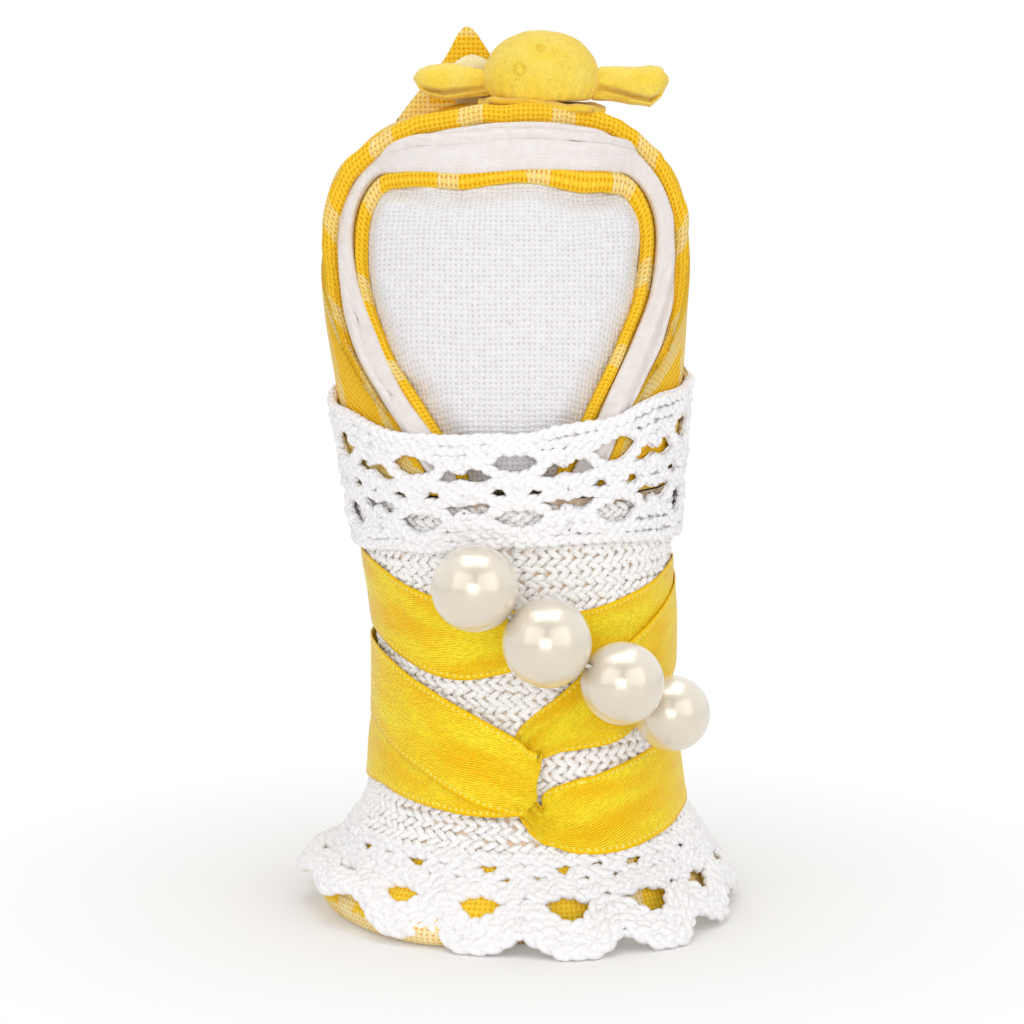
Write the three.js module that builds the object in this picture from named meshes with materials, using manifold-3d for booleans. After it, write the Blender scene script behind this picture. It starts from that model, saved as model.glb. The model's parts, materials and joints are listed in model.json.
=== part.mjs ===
// Amulet doll: a rolled cloth core, a padded head with a blank linen face, two kerchiefs and a
// forehead band, a check swaddle, a crochet dress with a scalloped skirt, an openwork chest band,
// one satin ribbon wound criss-cross, four pearl beads on a thread and a padded bow on the hood.
// Millimetres, +Z up. The face looks along -Y and the doll stands on Z = 0, centred on its base.
import * as THREE from 'three';
import { mergeVertices } from 'three/addons/utils/BufferGeometryUtils.js';
import Module from 'manifold-3d';

const wasm = await Module();
wasm.setup();

// Clearance between two pieces that touch
const fit = 0.3;
// More room where one curved cloth lies on another
const slack = 0.2;

// Outer cloth surface, which is the dress from the hem to the neck and the hood above it
const hemHeight = 0.5;
const hemHalfWidth = 27.2;
const hemHalfDepth = 29.4;
const flareHeight = 4;
const flareHalfWidth = 25.4;
const flareHalfDepth = 26.6;
const skirtHeight = 9;
const skirtHalfWidth = 22.3;
const skirtHalfDepth = 22.4;
const hipHeight = 14.5;
const hipHalfWidth = 19.6;
const hipHalfDepth = 19.2;
const waistHeight = 31;
const waistHalfWidth = 18.2;
const waistHalfDepth = 17.5;
const chestHeight = 44;
const chestHalfWidth = 19;
const chestHalfDepth = 18.1;
const neckHeight = 53;
const neckHalfWidth = 19.9;
const neckHalfDepth = 18.7;
const templeHeight = 81;
const templeHalfWidth = 22.5;
const templeHalfDepth = 19.8;
const crownHeight = 99;
const crownRoundness = 2.3;
const bodyRoundness = 2;
const headRoundness = 2.2;
// How far below the temples the head's section takes over from the body's
const headSectionDrop = 10;
const hipLean = 0.5;
const chestLean = -0.45;
const neckLean = -0.95;
const headLean = -1.95;

// Rolled core and the threads wound on it
const coreRadius = 13.4;
const coreTop = 74;
const coreTurns = 4;
const coreLayer = 2.2;
const coreLayerGap = 0.5;
const coreLean = -0.3;
const tieDiameter = 0.8;
const tiePitch = 1.4;
const tieTurns = 2;
const lowerTieHeight = 12;
const upperTieHeight = 34;
const neckTieGap = 0.9;

// Cloth thicknesses and how deep each layer of the head lies under the hood's outer face
const dressWall = 0.9;
const hoodWall = 0.8;
const bandWall = 0.6;
const kerchiefWall = 0.6;
const faceWall = 0.5;
const bandDepth = hoodWall + fit + slack;
const kerchiefDepth = bandDepth + bandWall + fit;
const faceDepth = kerchiefDepth + kerchiefWall + fit;
const paddingDepth = faceDepth + faceWall + fit;
const backDepth = hoodWall + 2 * fit;
const faceCrown = 1.5;
const faceCrownStart = 0.4;
const faceCrownEnd = 4.5;
const hoodRimWidth = 2.6;
const hoodRimRise = 1.4;
// Heights above the chest band between which the rim rises from pressed flat to full
const rimPressedHeight = 0.6;
const rimFreeHeight = 4.5;
const kerchiefRimWidth = 1.4;
const kerchiefRimRise = 0.9;
const bandRimWidth = 1.2;
const bandRimRise = 0.4;
const tuck = 3;

// Swaddle: flat base, rounded lower corner and a floor folded in under the core
const swaddleFlatRadius = 21.2;
const swaddleRadius = 23.8;
const swaddleRadiusHeight = 2.5;
const swaddleTop = 46;
const swaddleFloor = 0.9;

// Seams seen from the neck's centre, in degrees: the hood's at the back, the line under the face
const hoodSeamRise = 62;
const faceSeamAngle = -2;
const faceSeamFoot = 8;
const faceSeamRise = 40;
// Cone round the face's middle outside which the padding swells out to the hood
const faceMiddleElevation = 38;
const faceConeStart = 72;
const faceConeEnd = 96;

// Dress: top edge under the chest band, scallops round the hem
const scallops = 15;
const scallopDepth = 2.4;
const scallopPhase = -11.8;
const chestBandWall = 0.9;

// Ribbon
const ribbonWidth = 9.6;
const ribbonThickness = 0.3;
const ribbonLayerGap = 0.5;
const ribbonSeat = 0.4;
const ribbonStep = 3.8;
const foldAngle = 6.3;
const foldHeight = 18.5;
const foldWidth = 7.4;
const foldLayer = 2;
const turnRadius = 3.2;
const turnHeight = 18.6;
const turnAngle = -722;
const turnWidth = 3.8;

// Pearls and their thread
const pearlDiameters = [10.2, 10.5, 9.8, 9];
const pearlRises = [0.85, 0.95, 2.25, 1.4];
const pearlSlopes = [39.6, 31.3, 31.8];
const pearlGap = 0.3;
const firstPearlAngle = -12;
const firstPearlHeight = 43;
const boreDiameter = 1.8;
const threadDiameter = 0.5;
const threadStand = 2.4;
const threadSeatDrop = 1.5;

// Ornament on the front of the crown
const ornamentX = 2.4;
const ornamentY = -3.3;
const domeHalfWidth = 7.1;
const domeHalfDepth = 5;
const domeHeight = 7.5;
const domeWall = 0.5;
const backingWall = 0.5;
const backingHalfWidth = 6.4;
const backingHalfDepth = 1.5;
const wingLength = 8.2;
const wingRootHeight = 2.6;
const wingHeight = 5;
const wingDepth = 6.4;

// Corner of the kerchief that stands up behind the ornament
const tipX = -6.8;
const tipHeight = 108.2;
const tipLeftX = -15.4;
const tipRightX = -1.6;
const tipY = 4;
const tipWall = 1.2;

const radians = THREE.MathUtils.degToRad;
const degrees = THREE.MathUtils.radToDeg;

const outline = [
  { height: hemHeight, width: hemHalfWidth, depth: hemHalfDepth, lean: 0 },
  { height: flareHeight, width: flareHalfWidth, depth: flareHalfDepth, lean: 0.2 * hipLean },
  { height: skirtHeight, width: skirtHalfWidth, depth: skirtHalfDepth, lean: 0.6 * hipLean },
  { height: hipHeight, width: hipHalfWidth, depth: hipHalfDepth, lean: hipLean },
  { height: waistHeight, width: waistHalfWidth, depth: waistHalfDepth, lean: 0.7 * hipLean },
  { height: chestHeight, width: chestHalfWidth, depth: chestHalfDepth, lean: chestLean },
  { height: neckHeight, width: neckHalfWidth, depth: neckHalfDepth, lean: neckLean },
  { height: templeHeight, width: templeHalfWidth, depth: templeHalfDepth, lean: headLean },
];

// Smooth curve through the outline's heights, with no overshoot between them
function along(field, height) {
  const last = outline.length - 1;
  if (height <= outline[0].height) return outline[0][field];
  if (height >= outline[last].height) return outline[last][field];
  const slope = (i) => (outline[i + 1][field] - outline[i][field])
    / (outline[i + 1].height - outline[i].height);
  const tangent = (i) => {
    if (i === 0) return slope(0);
    if (i === last) return 0;
    const before = slope(i - 1);
    const after = slope(i);
    return before * after <= 0 ? 0 : 2 * before * after / (before + after);
  };
  let i = 0;
  while (outline[i + 1].height < height) i += 1;
  const span = outline[i + 1].height - outline[i].height;
  const t = (height - outline[i].height) / span;
  return (1 + 2 * t) * (1 - t) ** 2 * outline[i][field] + t * (1 - t) ** 2 * span * tangent(i)
    + t * t * (3 - 2 * t) * outline[i + 1][field] + t * t * (t - 1) * span * tangent(i + 1);
}

function smoothstep(low, high, value) {
  return THREE.MathUtils.smoothstep(value, low, high);
}

// Half width, half depth, centre and roundness of the cloth surface, grown by a distance
function section(height, grow) {
  let width = along('width', height) + grow;
  let depth = along('depth', height) + grow;
  if (height > templeHeight) {
    const rise = Math.min(1, (height - templeHeight) / (crownHeight - templeHeight + grow));
    const share = (1 - rise ** crownRoundness) ** (1 / crownRoundness);
    width *= share;
    depth *= share;
  }
  const blend = smoothstep(chestHeight, templeHeight - headSectionDrop, height);
  const power = bodyRoundness + (headRoundness - bodyRoundness) * blend;
  return { width, depth, lean: along('lean', height), power };
}

// Point on the cloth surface at an angle from the front, a height and a distance outwards
function onBody(angle, height, grow) {
  const { width, depth, lean, power } = section(height, grow);
  const side = Math.sin(radians(angle));
  const front = Math.cos(radians(angle));
  const reach = (Math.abs(side / width) ** power + Math.abs(front / depth) ** power) ** (-1 / power);
  return new THREE.Vector3(lean + reach * side, -reach * front, height);
}

const neckCentre = new THREE.Vector3(neckLean, 0, neckHeight);

// Direction from the neck's centre, by its angle from the front and its elevation
function heading(angle, elevation) {
  const level = Math.cos(radians(elevation));
  return new THREE.Vector3(
    level * Math.sin(radians(angle)), -level * Math.cos(radians(angle)), Math.sin(radians(elevation)));
}

function isInside(point, grow) {
  if (point.z > crownHeight + grow) return false;
  const { width, depth, lean, power } = section(point.z, grow);
  if (width < 1e-6) return false;
  return Math.abs((point.x - lean) / width) ** power + Math.abs(point.y / depth) ** power <= 1;
}

// Point on the head's cloth surface in a direction from the neck's centre
function onHead(direction, grow) {
  let low = 5;
  let high = 80;
  for (let i = 0; i < 30; i += 1) {
    const middle = (low + high) / 2;
    if (isInside(neckCentre.clone().addScaledVector(direction, middle), grow)) low = middle;
    else high = middle;
  }
  return neckCentre.clone().addScaledVector(direction, low);
}

// Solids from grids of points

function solid(triangles) {
  const geometry = new THREE.BufferGeometry();
  const position = triangles.flat().flatMap((point) => [point.x, point.y, point.z]);
  geometry.setAttribute('position', new THREE.Float32BufferAttribute(position, 3));
  return closed(geometry);
}

// Merges shared corners, drops flat triangles and turns the faces outwards
function closed(source) {
  const bare = source.clone();
  bare.deleteAttribute('normal');
  bare.deleteAttribute('uv');
  const merged = mergeVertices(bare, 1e-3);
  const spots = merged.getAttribute('position');
  const kept = [];
  let volume = 0;
  const corner = (i) => new THREE.Vector3().fromBufferAttribute(spots, i);
  for (let i = 0; i < merged.index.count; i += 3) {
    const [a, b, c] = [0, 1, 2].map((k) => merged.index.getX(i + k));
    if (a !== b && b !== c && c !== a) {
      kept.push([a, b, c]);
      volume += corner(a).dot(corner(b).cross(corner(c)));
    }
  }
  if (volume < 0) kept.forEach((face) => face.reverse());
  merged.setIndex(kept.flat());
  merged.computeVertexNormals();
  return merged;
}

function quad(a, b, c, d) {
  return [[a, b, c], [a, c, d]];
}

// Closed body from rings of points: the last ring meets the first, or both ends are capped
function ringSolid(rings, loops) {
  const faces = [];
  const count = rings[0].length;
  const spans = loops ? rings.length : rings.length - 1;
  for (let i = 0; i < spans; i += 1) {
    const here = rings[i];
    const next = rings[(i + 1) % rings.length];
    for (let j = 0; j < count; j += 1) {
      const k = (j + 1) % count;
      faces.push(...quad(here[j], here[k], next[k], next[j]));
    }
  }
  if (!loops) {
    faces.push(...flatCap(rings[0]).map((face) => face.reverse()));
    faces.push(...flatCap(rings[rings.length - 1]));
  }
  return solid(faces);
}

// Cap across a flat ring whose first half runs along one side and second half back along the other
function flatCap(ring) {
  const half = ring.length / 2;
  const faces = [];
  for (let j = 0; j < half - 1; j += 1) {
    faces.push(...quad(ring[j], ring[j + 1], ring[ring.length - 2 - j], ring[ring.length - 1 - j]));
  }
  return faces;
}

// Closed body from an outer and an inner grid of points, joined round the open edges
function sheetSolid(outer, inner, seamed) {
  const faces = [];
  const columns = outer.length - 1;
  const rows = outer[0].length - 1;
  for (let i = 0; i < columns; i += 1) {
    for (let j = 0; j < rows; j += 1) {
      faces.push(...quad(outer[i][j], outer[i + 1][j], outer[i + 1][j + 1], outer[i][j + 1]));
      faces.push(...quad(inner[i][j], inner[i][j + 1], inner[i + 1][j + 1], inner[i + 1][j]));
    }
    faces.push(...quad(outer[i][0], inner[i][0], inner[i + 1][0], outer[i + 1][0]));
    if (!seamed) {
      faces.push(...quad(outer[i][rows], outer[i + 1][rows], inner[i + 1][rows], inner[i][rows]));
    }
  }
  for (let j = 0; j < rows; j += 1) {
    faces.push(...quad(outer[0][j], outer[0][j + 1], inner[0][j + 1], inner[0][j]));
    faces.push(...quad(outer[columns][j], inner[columns][j], inner[columns][j + 1], outer[columns][j + 1]));
  }
  return solid(faces);
}

function steps(count) {
  return Array.from({ length: count }, (_, i) => i);
}

function joined(geometryA, geometryB) {
  const [a, b] = [geometryA, geometryB].map((geometry) => {
    const merged = closed(geometry);
    return new wasm.Manifold(new wasm.Mesh({
      numProp: 3,
      vertProperties: new Float32Array(merged.getAttribute('position').array),
      triVerts: new Uint32Array(merged.index.array),
    }));
  });
  const mesh = a.add(b).getMesh();
  const geometry = new THREE.BufferGeometry();
  geometry.setAttribute('position', new THREE.BufferAttribute(mesh.vertProperties, 3));
  geometry.setIndex(new THREE.BufferAttribute(mesh.triVerts, 1));
  geometry.computeVertexNormals();
  return geometry;
}

// Materials and assembly

function material(color, roughness) {
  return new THREE.MeshStandardMaterial({ color, roughness, metalness: 0 });
}

const whiteLinen = material(0xf5f4f6, 0.85);
const checkCloth = material(0xf5c21b, 0.85);
const creamCloth = material(0xf3e6b4, 0.9);
const lacePaint = material(0xf4f2f0, 0.8);
const satin = material(0xf5d11e, 0.35);
const pearlCoat = material(0xe9dfcc, 0.15);
const threadWhite = material(0xf0ede4, 0.6);
const threadRed = material(0xb03a32, 0.7);
const ornamentCloth = material(0xefd860, 0.75);

const doll = new THREE.Group();

function place(name, geometry, finish) {
  const mesh = new THREE.Mesh(geometry, finish);
  mesh.name = name;
  doll.add(mesh);
  return mesh;
}

// Core: one strip of cloth rolled up, standing on the swaddle's floor

function coreRoll() {
  const pitch = coreLayer + coreLayerGap;
  const firstRadius = coreRadius - coreTurns * pitch;
  const perTurn = 18;
  const spiral = (radius) => steps(coreTurns * perTurn + 1).map((i) => {
    const turn = 2 * Math.PI * i / perTurn;
    const reach = radius + pitch * i / perTurn;
    return new THREE.Vector2(reach * Math.cos(turn), reach * Math.sin(turn));
  });
  const shape = new THREE.Shape([...spiral(firstRadius), ...spiral(firstRadius - coreLayer).reverse()]);
  const foot = swaddleFloor + fit;
  const geometry = new THREE.ExtrudeGeometry(shape, { depth: coreTop - foot, bevelEnabled: false });
  return geometry.translate(coreLean, 0, foot);
}

class Winding extends THREE.Curve {
  constructor(radius, middle) {
    super();
    this.radius = radius;
    this.middle = middle;
  }

  getPoint(t, target = new THREE.Vector3()) {
    const turn = 2 * Math.PI * tieTurns * t;
    return target.set(coreLean + this.radius * Math.cos(turn), this.radius * Math.sin(turn),
      this.middle + tiePitch * tieTurns * (t - 0.5));
  }
}

const tieRadius = coreRadius + fit + tieDiameter / 2;

function roundSection(diameter, sides) {
  return new THREE.Shape(steps(sides).map((i) => new THREE.Vector2(
    diameter / 2 * Math.cos(2 * Math.PI * i / sides), diameter / 2 * Math.sin(2 * Math.PI * i / sides))));
}

function tie(middle) {
  return closed(new THREE.ExtrudeGeometry(roundSection(tieDiameter, 6),
    { steps: 24 * tieTurns, extrudePath: new Winding(tieRadius, middle), bevelEnabled: false }));
}

// Head: padding over the core, the linen face, and three horseshoe edges seen from the neck's centre

// Angle from the front and elevation, in degrees, along the edge of the face
const faceEdge = [[-16, 0], [-24, 13], [-29, 22], [-37, 31], [-46, 40], [-55, 50], [-58, 57],
  [-55, 61.5], [-46, 63], [-22, 65], [3, 67], [28, 65], [42, 64], [50, 63], [53, 59.5], [49, 51],
  [42, 44.5], [34, 35], [26, 23], [20, 12], [14.5, 0]];
// The same for the inner edge of the forehead band
const bandEdge = [[-21, 0], [-29, 13], [-34, 21], [-42, 31], [-51, 41], [-60, 50], [-63, 57],
  [-60, 63], [-48, 65], [-22, 67.2], [3, 69], [28, 67.6], [44, 66.6], [54, 65.5], [58, 60], [54, 50.5],
  [46.5, 43], [38, 33], [31, 22], [25, 11], [19.5, 0]];
// And for the inner edge of the hood's rolled rim
const hoodEdge = [[-27, 0], [-36, 13], [-41, 20], [-50, 29], [-59, 37], [-65, 46], [-67, 55],
  [-64, 62], [-56, 68], [-40, 73], [-9, 77], [12, 77.8], [33, 77], [54, 74], [63, 68], [66, 60],
  [65.5, 50], [61, 42], [50, 32], [43, 23], [36, 12], [30, 0]];

function edgeCurve(edge) {
  return new THREE.CatmullRomCurve3(edge.map(([angle, elevation]) => heading(angle, elevation)));
}

// Direction moved sideways off an edge by a distance on the cloth, and kept above the neck
function beside(curve, t, distance) {
  const direction = curve.getPointAt(t).normalize();
  const axis = curve.getTangentAt(t).normalize();
  const reach = onHead(direction, 0).distanceTo(neckCentre);
  direction.applyAxisAngle(axis, distance / reach);
  if (direction.z < 0 || t === 0 || t === 1) direction.z = 0;
  return direction.normalize();
}

function between(from, to, share) {
  const angle = from.angleTo(to);
  if (angle < 1e-6) return from.clone();
  return from.clone().multiplyScalar(Math.sin((1 - share) * angle))
    .addScaledVector(to, Math.sin(share * angle)).normalize();
}

// Height of a rolled edge at a distance from it
function rim(distance, width, rise) {
  if (distance >= width) return 0;
  return rise * Math.sqrt(1 - (2 * distance / width - 1) ** 2);
}

function headPadding() {
  const count = 36;
  const faceMiddle = heading(faceSeamAngle, faceMiddleElevation);
  const bore = coreRadius + fit;
  const ring = (elevation) => steps(count).map((i) => {
    const direction = heading(360 * i / count, elevation);
    const behind = smoothstep(faceConeStart, faceConeEnd, degrees(direction.angleTo(faceMiddle)));
    return onHead(direction, -paddingDepth + behind * (paddingDepth - backDepth));
  });
  const boreRing = (radius, height) => steps(count).map((i) => new THREE.Vector3(
    coreLean + radius * Math.sin(2 * Math.PI * i / count),
    -radius * Math.cos(2 * Math.PI * i / count), height));
  const rings = [90, 84, 76, 67, 57, 47, 37, 28, 19, 10, 0].map(ring);
  rings.push(boreRing(bore, neckHeight), boreRing(bore, coreTop + fit), boreRing(0, coreTop + fit));
  return ringSolid([...rings], false);
}

// Cloth from an edge to a line that both of its sides share, such as a hood to its back seam
function clothToSeam(curve, lateral, outerRise, innerRise, seam, columns) {
  const grid = (rise) => steps(columns + 1).map((i) => {
    const t = i / columns;
    const start = beside(curve, t, 0);
    const end = seam(1 - Math.abs(2 * t - 1));
    const reach = onHead(start, 0).distanceTo(neckCentre);
    const whole = start.angleTo(end) * reach;
    return lateral(whole).map((distance) => {
      const direction = between(start, end, distance / whole);
      return onHead(direction, rise(distance, whole, onHead(direction, 0)));
    });
  });
  return sheetSolid(grid(outerRise), grid(innerRise), true);
}

// How far a direction lies inside an edge, measured on the cloth, or 0 where it is outside
function insideBy(samples, direction) {
  let nearest = samples[0];
  samples.forEach((sample) => {
    if (sample.direction.angleTo(direction) < nearest.direction.angleTo(direction)) nearest = sample;
  });
  const inward = nearest.tangent.clone().cross(nearest.direction);
  if (direction.clone().sub(nearest.direction).dot(inward) <= 0) return 0;
  return nearest.direction.angleTo(direction) * onHead(direction, 0).distanceTo(neckCentre);
}

function faceCloth() {
  const curve = edgeCurve(faceEdge);
  const samples = steps(121).map((i) => (
    { direction: curve.getPointAt(i / 120).normalize(), tangent: curve.getTangentAt(i / 120).normalize() }));
  const shifted = { getPointAt: (t) => beside(curve, t, -tuck), getTangentAt: (t) => curve.getTangentAt(t) };
  const crown = (point) => faceCrown * smoothstep(faceCrownStart, faceCrownEnd,
    insideBy(samples, point.clone().sub(neckCentre).normalize()));
  return clothToSeam(shifted,
    (whole) => [0, tuck, ...steps(7).map((i) => tuck + (whole - tuck) * ((i + 1) / 7) ** 1.3)],
    (distance, whole, point) => -faceDepth + crown(point),
    (distance, whole, point) => -faceDepth - faceWall + crown(point),
    (share) => heading(faceSeamAngle, faceSeamFoot + faceSeamRise * share), 36);
}

// How much of the hood's rolled rim is left above the chest band, which presses it flat
function rimFreedom(point) {
  const above = point.z - chestBandTop(degrees(Math.atan2(point.x - neckLean, -point.y)));
  return smoothstep(rimPressedHeight, rimFreeHeight, above);
}

function outerKerchief() {
  const curve = edgeCurve(hoodEdge);
  const rolled = [0, 0.1, 0.3, 0.5, 0.7, 0.9, 1].map((share) => share * hoodRimWidth);
  const hood = clothToSeam(curve,
    (whole) => [...rolled, ...steps(8).map(
      (i) => hoodRimWidth + (i + 1) / 8 * (whole - hoodRimWidth))],
    (distance, whole, point) => rim(distance, hoodRimWidth, hoodRimRise) * rimFreedom(point),
    () => -hoodWall,
    (share) => heading(180, hoodSeamRise * share), 36);
  const foot = steps(6).map((i) => {
    const x = tipLeftX + (tipRightX - tipLeftX) * i / 5;
    return new THREE.Vector2(x, crownAt(x, tipY, -hoodWall / 2));
  });
  const corner = new THREE.Shape([...foot, new THREE.Vector2(tipX, tipHeight)]);
  const tip = new THREE.ExtrudeGeometry(corner, { depth: tipWall, bevelEnabled: false });
  tip.rotateX(Math.PI / 2).translate(0, tipY + tipWall / 2, 0);
  return joined(hood, tip);
}

// Strip between two edges, the first with a rolled rim, the second tucked under the next layer
function strip(inner, outer, depth, wall, rimWidth, rimRise, columns) {
  const from = edgeCurve(inner);
  const to = edgeCurve(outer);
  const grid = (top) => steps(columns + 1).map((i) => {
    const t = i / columns;
    const start = beside(from, t, 0);
    const end = beside(to, t, -tuck);
    const whole = start.angleTo(end) * onHead(start, 0).distanceTo(neckCentre);
    const places = [0, 0.15, 0.5, 0.85, 1].map((share) => share * rimWidth);
    return [...places, (rimWidth + whole) / 2, whole].map((distance) => {
      const rise = top ? rim(distance, rimWidth, rimRise) : -wall;
      return onHead(between(start, end, distance / whole), rise - depth);
    });
  });
  return sheetSolid(grid(true), grid(false), false);
}

// Swaddle: flares over a flat base, and is thick where its folded-in cloth fills the base

function swaddle() {
  const count = 40;
  const clear = dressWall + fit + slack;
  const bore = coreRadius + fit + tieDiameter + fit;
  const round = (radius, height, lean = 0) => steps(count).map((i) => new THREE.Vector3(
    lean + radius * Math.sin(2 * Math.PI * i / count),
    -radius * Math.cos(2 * Math.PI * i / count), height));
  const follow = (height) => steps(count).map((i) => onBody(360 * i / count, height, -clear));
  return ringSolid([
    round(0, 0), round(swaddleFlatRadius, 0), round(swaddleRadius - 1, 0.3 * swaddleRadiusHeight),
    round(swaddleRadius, swaddleRadiusHeight), round(swaddleRadius - 1.6, 2 * swaddleRadiusHeight),
    follow(skirtHeight), follow(hipHeight), follow((hipHeight + waistHeight) / 2), follow(waistHeight),
    follow((waistHeight + swaddleTop) / 2), follow(swaddleTop),
    round(bore, swaddleTop, coreLean), round(bore, swaddleFloor, coreLean),
    round(0, swaddleFloor, coreLean),
  ], false);
}

// Dress: crochet tube with a skirt that flares into scallops

function scallopRise(angle) {
  const wave = Math.abs(Math.cos(radians((angle - scallopPhase) * scallops / 2)));
  return scallopDepth * (1 - wave);
}

function dress() {
  const count = 4 * scallops;
  const top = neckHeight - fit;
  const outerLevels = [1, 0.79, 0.585, 0.45, 0.365, 0.303, 0.25, 0.2, 0.144, 0.073, 0];
  const innerLevels = [0, 0.08, 0.16, 0.26, 0.45, 1];
  const ring = (share, grow) => steps(count).map((i) => {
    const angle = scallopPhase + 360 * i / count;
    const low = hemHeight + scallopRise(angle);
    return onBody(angle, low + (top - low) * share, grow);
  });
  const outer = outerLevels.map((share) => ring(share, 0));
  const inner = innerLevels.map((share) => ring(share, -dressWall));
  return ringSolid([...outer, ...inner], true);
}

// Chest band: angle from the front, upper edge and lower edge
const chestBandEdges = [[-180, 65.5, 45], [-120, 64.6, 44.6], [-67, 62.5, 45.2], [-38, 60.4, 46],
  [0, 60.8, 47.1], [30, 62.2, 47.3], [61, 65, 46.4], [110, 66.4, 45.6], [180, 65.5, 45]];

function chestBandEdge(angle, side) {
  const turned = THREE.MathUtils.euclideanModulo(angle + 180, 360) - 180;
  let i = 0;
  while (chestBandEdges[i + 1][0] < turned) i += 1;
  const [from, to] = [chestBandEdges[i], chestBandEdges[i + 1]];
  const share = smoothstep(from[0], to[0], turned);
  return from[side] + (to[side] - from[side]) * share;
}

function chestBandTop(angle) {
  return chestBandEdge(angle, 1);
}

function chestBand() {
  const count = 48;
  const levels = [0, 0.35, 0.7, 1];
  const ring = (share, grow) => steps(count).map((i) => {
    const angle = 360 * i / count;
    const low = chestBandEdge(angle, 2);
    return onBody(angle, low + (chestBandTop(angle) - low) * share, grow);
  });
  const outer = levels.map((share) => ring(share, fit + chestBandWall));
  const inner = [...levels].reverse().map((share) => ring(share, fit));
  return ringSolid([...outer, ...inner], true);
}

// Ribbon: one satin strip whose two ends meet at the back. The angle runs on through every turn,
// and a layer counts how many strips deep it lies.
const ribbonIn = [[-172, 18.6, 1], [-120, 19.4, 1], [-90, 20.6, 1], [-64, 21, 1], [-46, 20.2, 1],
  [-30, 19.6, 1.5], [-20, 19.3, 2], [-10, 19, 2, 9], [-2, 18.7, 2, 8], [4, foldHeight, 2, foldWidth]];
const ribbonOut = [[4, foldHeight, 3, foldWidth], [-3, 19, 3, 8], [-10, 20, 3, 9.2], [-22, 21.8, 3],
  [-34, 23.5, 2.6], [-49, 25.3, 2], [-73, 28, 2], [-104, 28.9, 2], [-127, 29, 2], [-147, 29.9, 1],
  [-180, 32.6, 1], [-225, 36, 1], [-270, 38.5, 1], [-290, 37.4, 1], [-308, 36, 1], [-334, 35, 1, 8.2],
  [-355, 36, 1, 6.6], [-370, 35.5, 1, 8], [-388, 35.3, 1], [-410, 36.9, 1], [-435, 39.4, 1],
  [-458, 39.7, 1.2], [-484, 39.6, 2], [-540, 38.9, 2], [-590, 37.6, 2], [-630, 35.6, 2], [-650, 33.4, 2],
  [-675, 29.5, 2], [-690, 27.3, 2], [-703, 25.6, 1.5, 7], [-710, 24.7, 1, 5.6],
  [-717, 23.3, 1, 4.6]];
const ribbonEnd = [[-717, 14.6, 1, 4.6], [-710, 14.3, 1, 6], [-702, 14.2, 1, 7.6], [-690, 14.8, 1, 9],
  [-672, 16, 1], [-650, 17.2, 1], [-630, 18.2, 1], [-590, 19.6, 1], [-552, 20.3, 1]];

const ribbonPitch = ribbonThickness + ribbonLayerGap;
const ribbonRound = waistHalfWidth + fit;

// Station of the ribbon as distance round the body, height, distance off it and width
function ribbonStation([angle, height, layer, width = ribbonWidth]) {
  return [radians(angle) * ribbonRound, height,
    ribbonSeat + ribbonThickness / 2 + (layer - 1) * ribbonPitch, width];
}

function ribbonRun(stations) {
  const run = [];
  for (let i = 0; i < stations.length - 1; i += 1) {
    const [a, b, c, d] = [i - 1, i, i + 1, i + 2].map(
      (k) => stations[THREE.MathUtils.clamp(k, 0, stations.length - 1)]);
    const length = Math.hypot(c[0] - b[0], c[1] - b[1], c[2] - b[2]);
    const count = Math.max(1, Math.round(length / ribbonStep));
    steps(count).forEach((k) => {
      const t = k / count;
      run.push(b.map((value, n) => 0.5 * (2 * value + (c[n] - a[n]) * t
        + (2 * a[n] - 5 * value + 4 * c[n] - d[n]) * t * t
        + (3 * value - a[n] - 3 * c[n] + d[n]) * t * t * t)));
    });
  }
  run.push(stations[stations.length - 1]);
  return run;
}

// Half circle where the ribbon folds back on itself, or turns on the flat
function foldStations() {
  const [, height, low] = ribbonStation([foldAngle, foldHeight, foldLayer, foldWidth]);
  return [30, 90, 150].map((turn) => [
    radians(foldAngle) * ribbonRound + ribbonPitch / 2 * (Math.sin(radians(turn)) - 1), height,
    low + ribbonPitch / 2 * (1 - Math.cos(radians(turn))), foldWidth]);
}

function turnStations() {
  const [middle, height, low] = ribbonStation([turnAngle, turnHeight, 1, turnWidth]);
  return [0, 36, 72, 108, 144, 180].map((turn) => [
    middle - turnRadius * Math.sin(radians(turn)), height + turnRadius * Math.cos(radians(turn)),
    low, turnWidth]);
}

function ribbonRoute() {
  const inward = ribbonRun(ribbonIn.map(ribbonStation));
  const outward = ribbonRun([...ribbonOut.map(ribbonStation), ...turnStations(),
    ...ribbonEnd.map(ribbonStation)]);
  return [...inward, ...foldStations(), ...outward];
}

// Centre face of the ribbon: a row of points across it at each step of its route
function ribbonRows() {
  const route = ribbonRoute();
  const across = 3;
  let lean = Math.PI / 2;
  return route.map((station, i) => {
    const before = route[Math.max(0, i - 1)];
    const after = route[Math.min(route.length - 1, i + 1)];
    const run = Math.atan2(after[1] - before[1], after[0] - before[0]);
    const options = [run + Math.PI / 2, run - Math.PI / 2];
    const turned = options.map((angle) => lean + Math.atan2(Math.sin(angle - lean), Math.cos(angle - lean)));
    const flat = Math.hypot(after[0] - before[0], after[1] - before[1]);
    if (flat > ribbonPitch) {
      lean = Math.abs(turned[0] - lean) < Math.abs(turned[1] - lean) ? turned[0] : turned[1];
    }
    return steps(across + 1).map((k) => {
      const off = station[3] * (k / across - 0.5);
      const angle = degrees((station[0] + off * Math.cos(lean)) / ribbonRound);
      return onBody(angle, station[1] + off * Math.sin(lean), station[2]);
    });
  });
}

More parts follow.
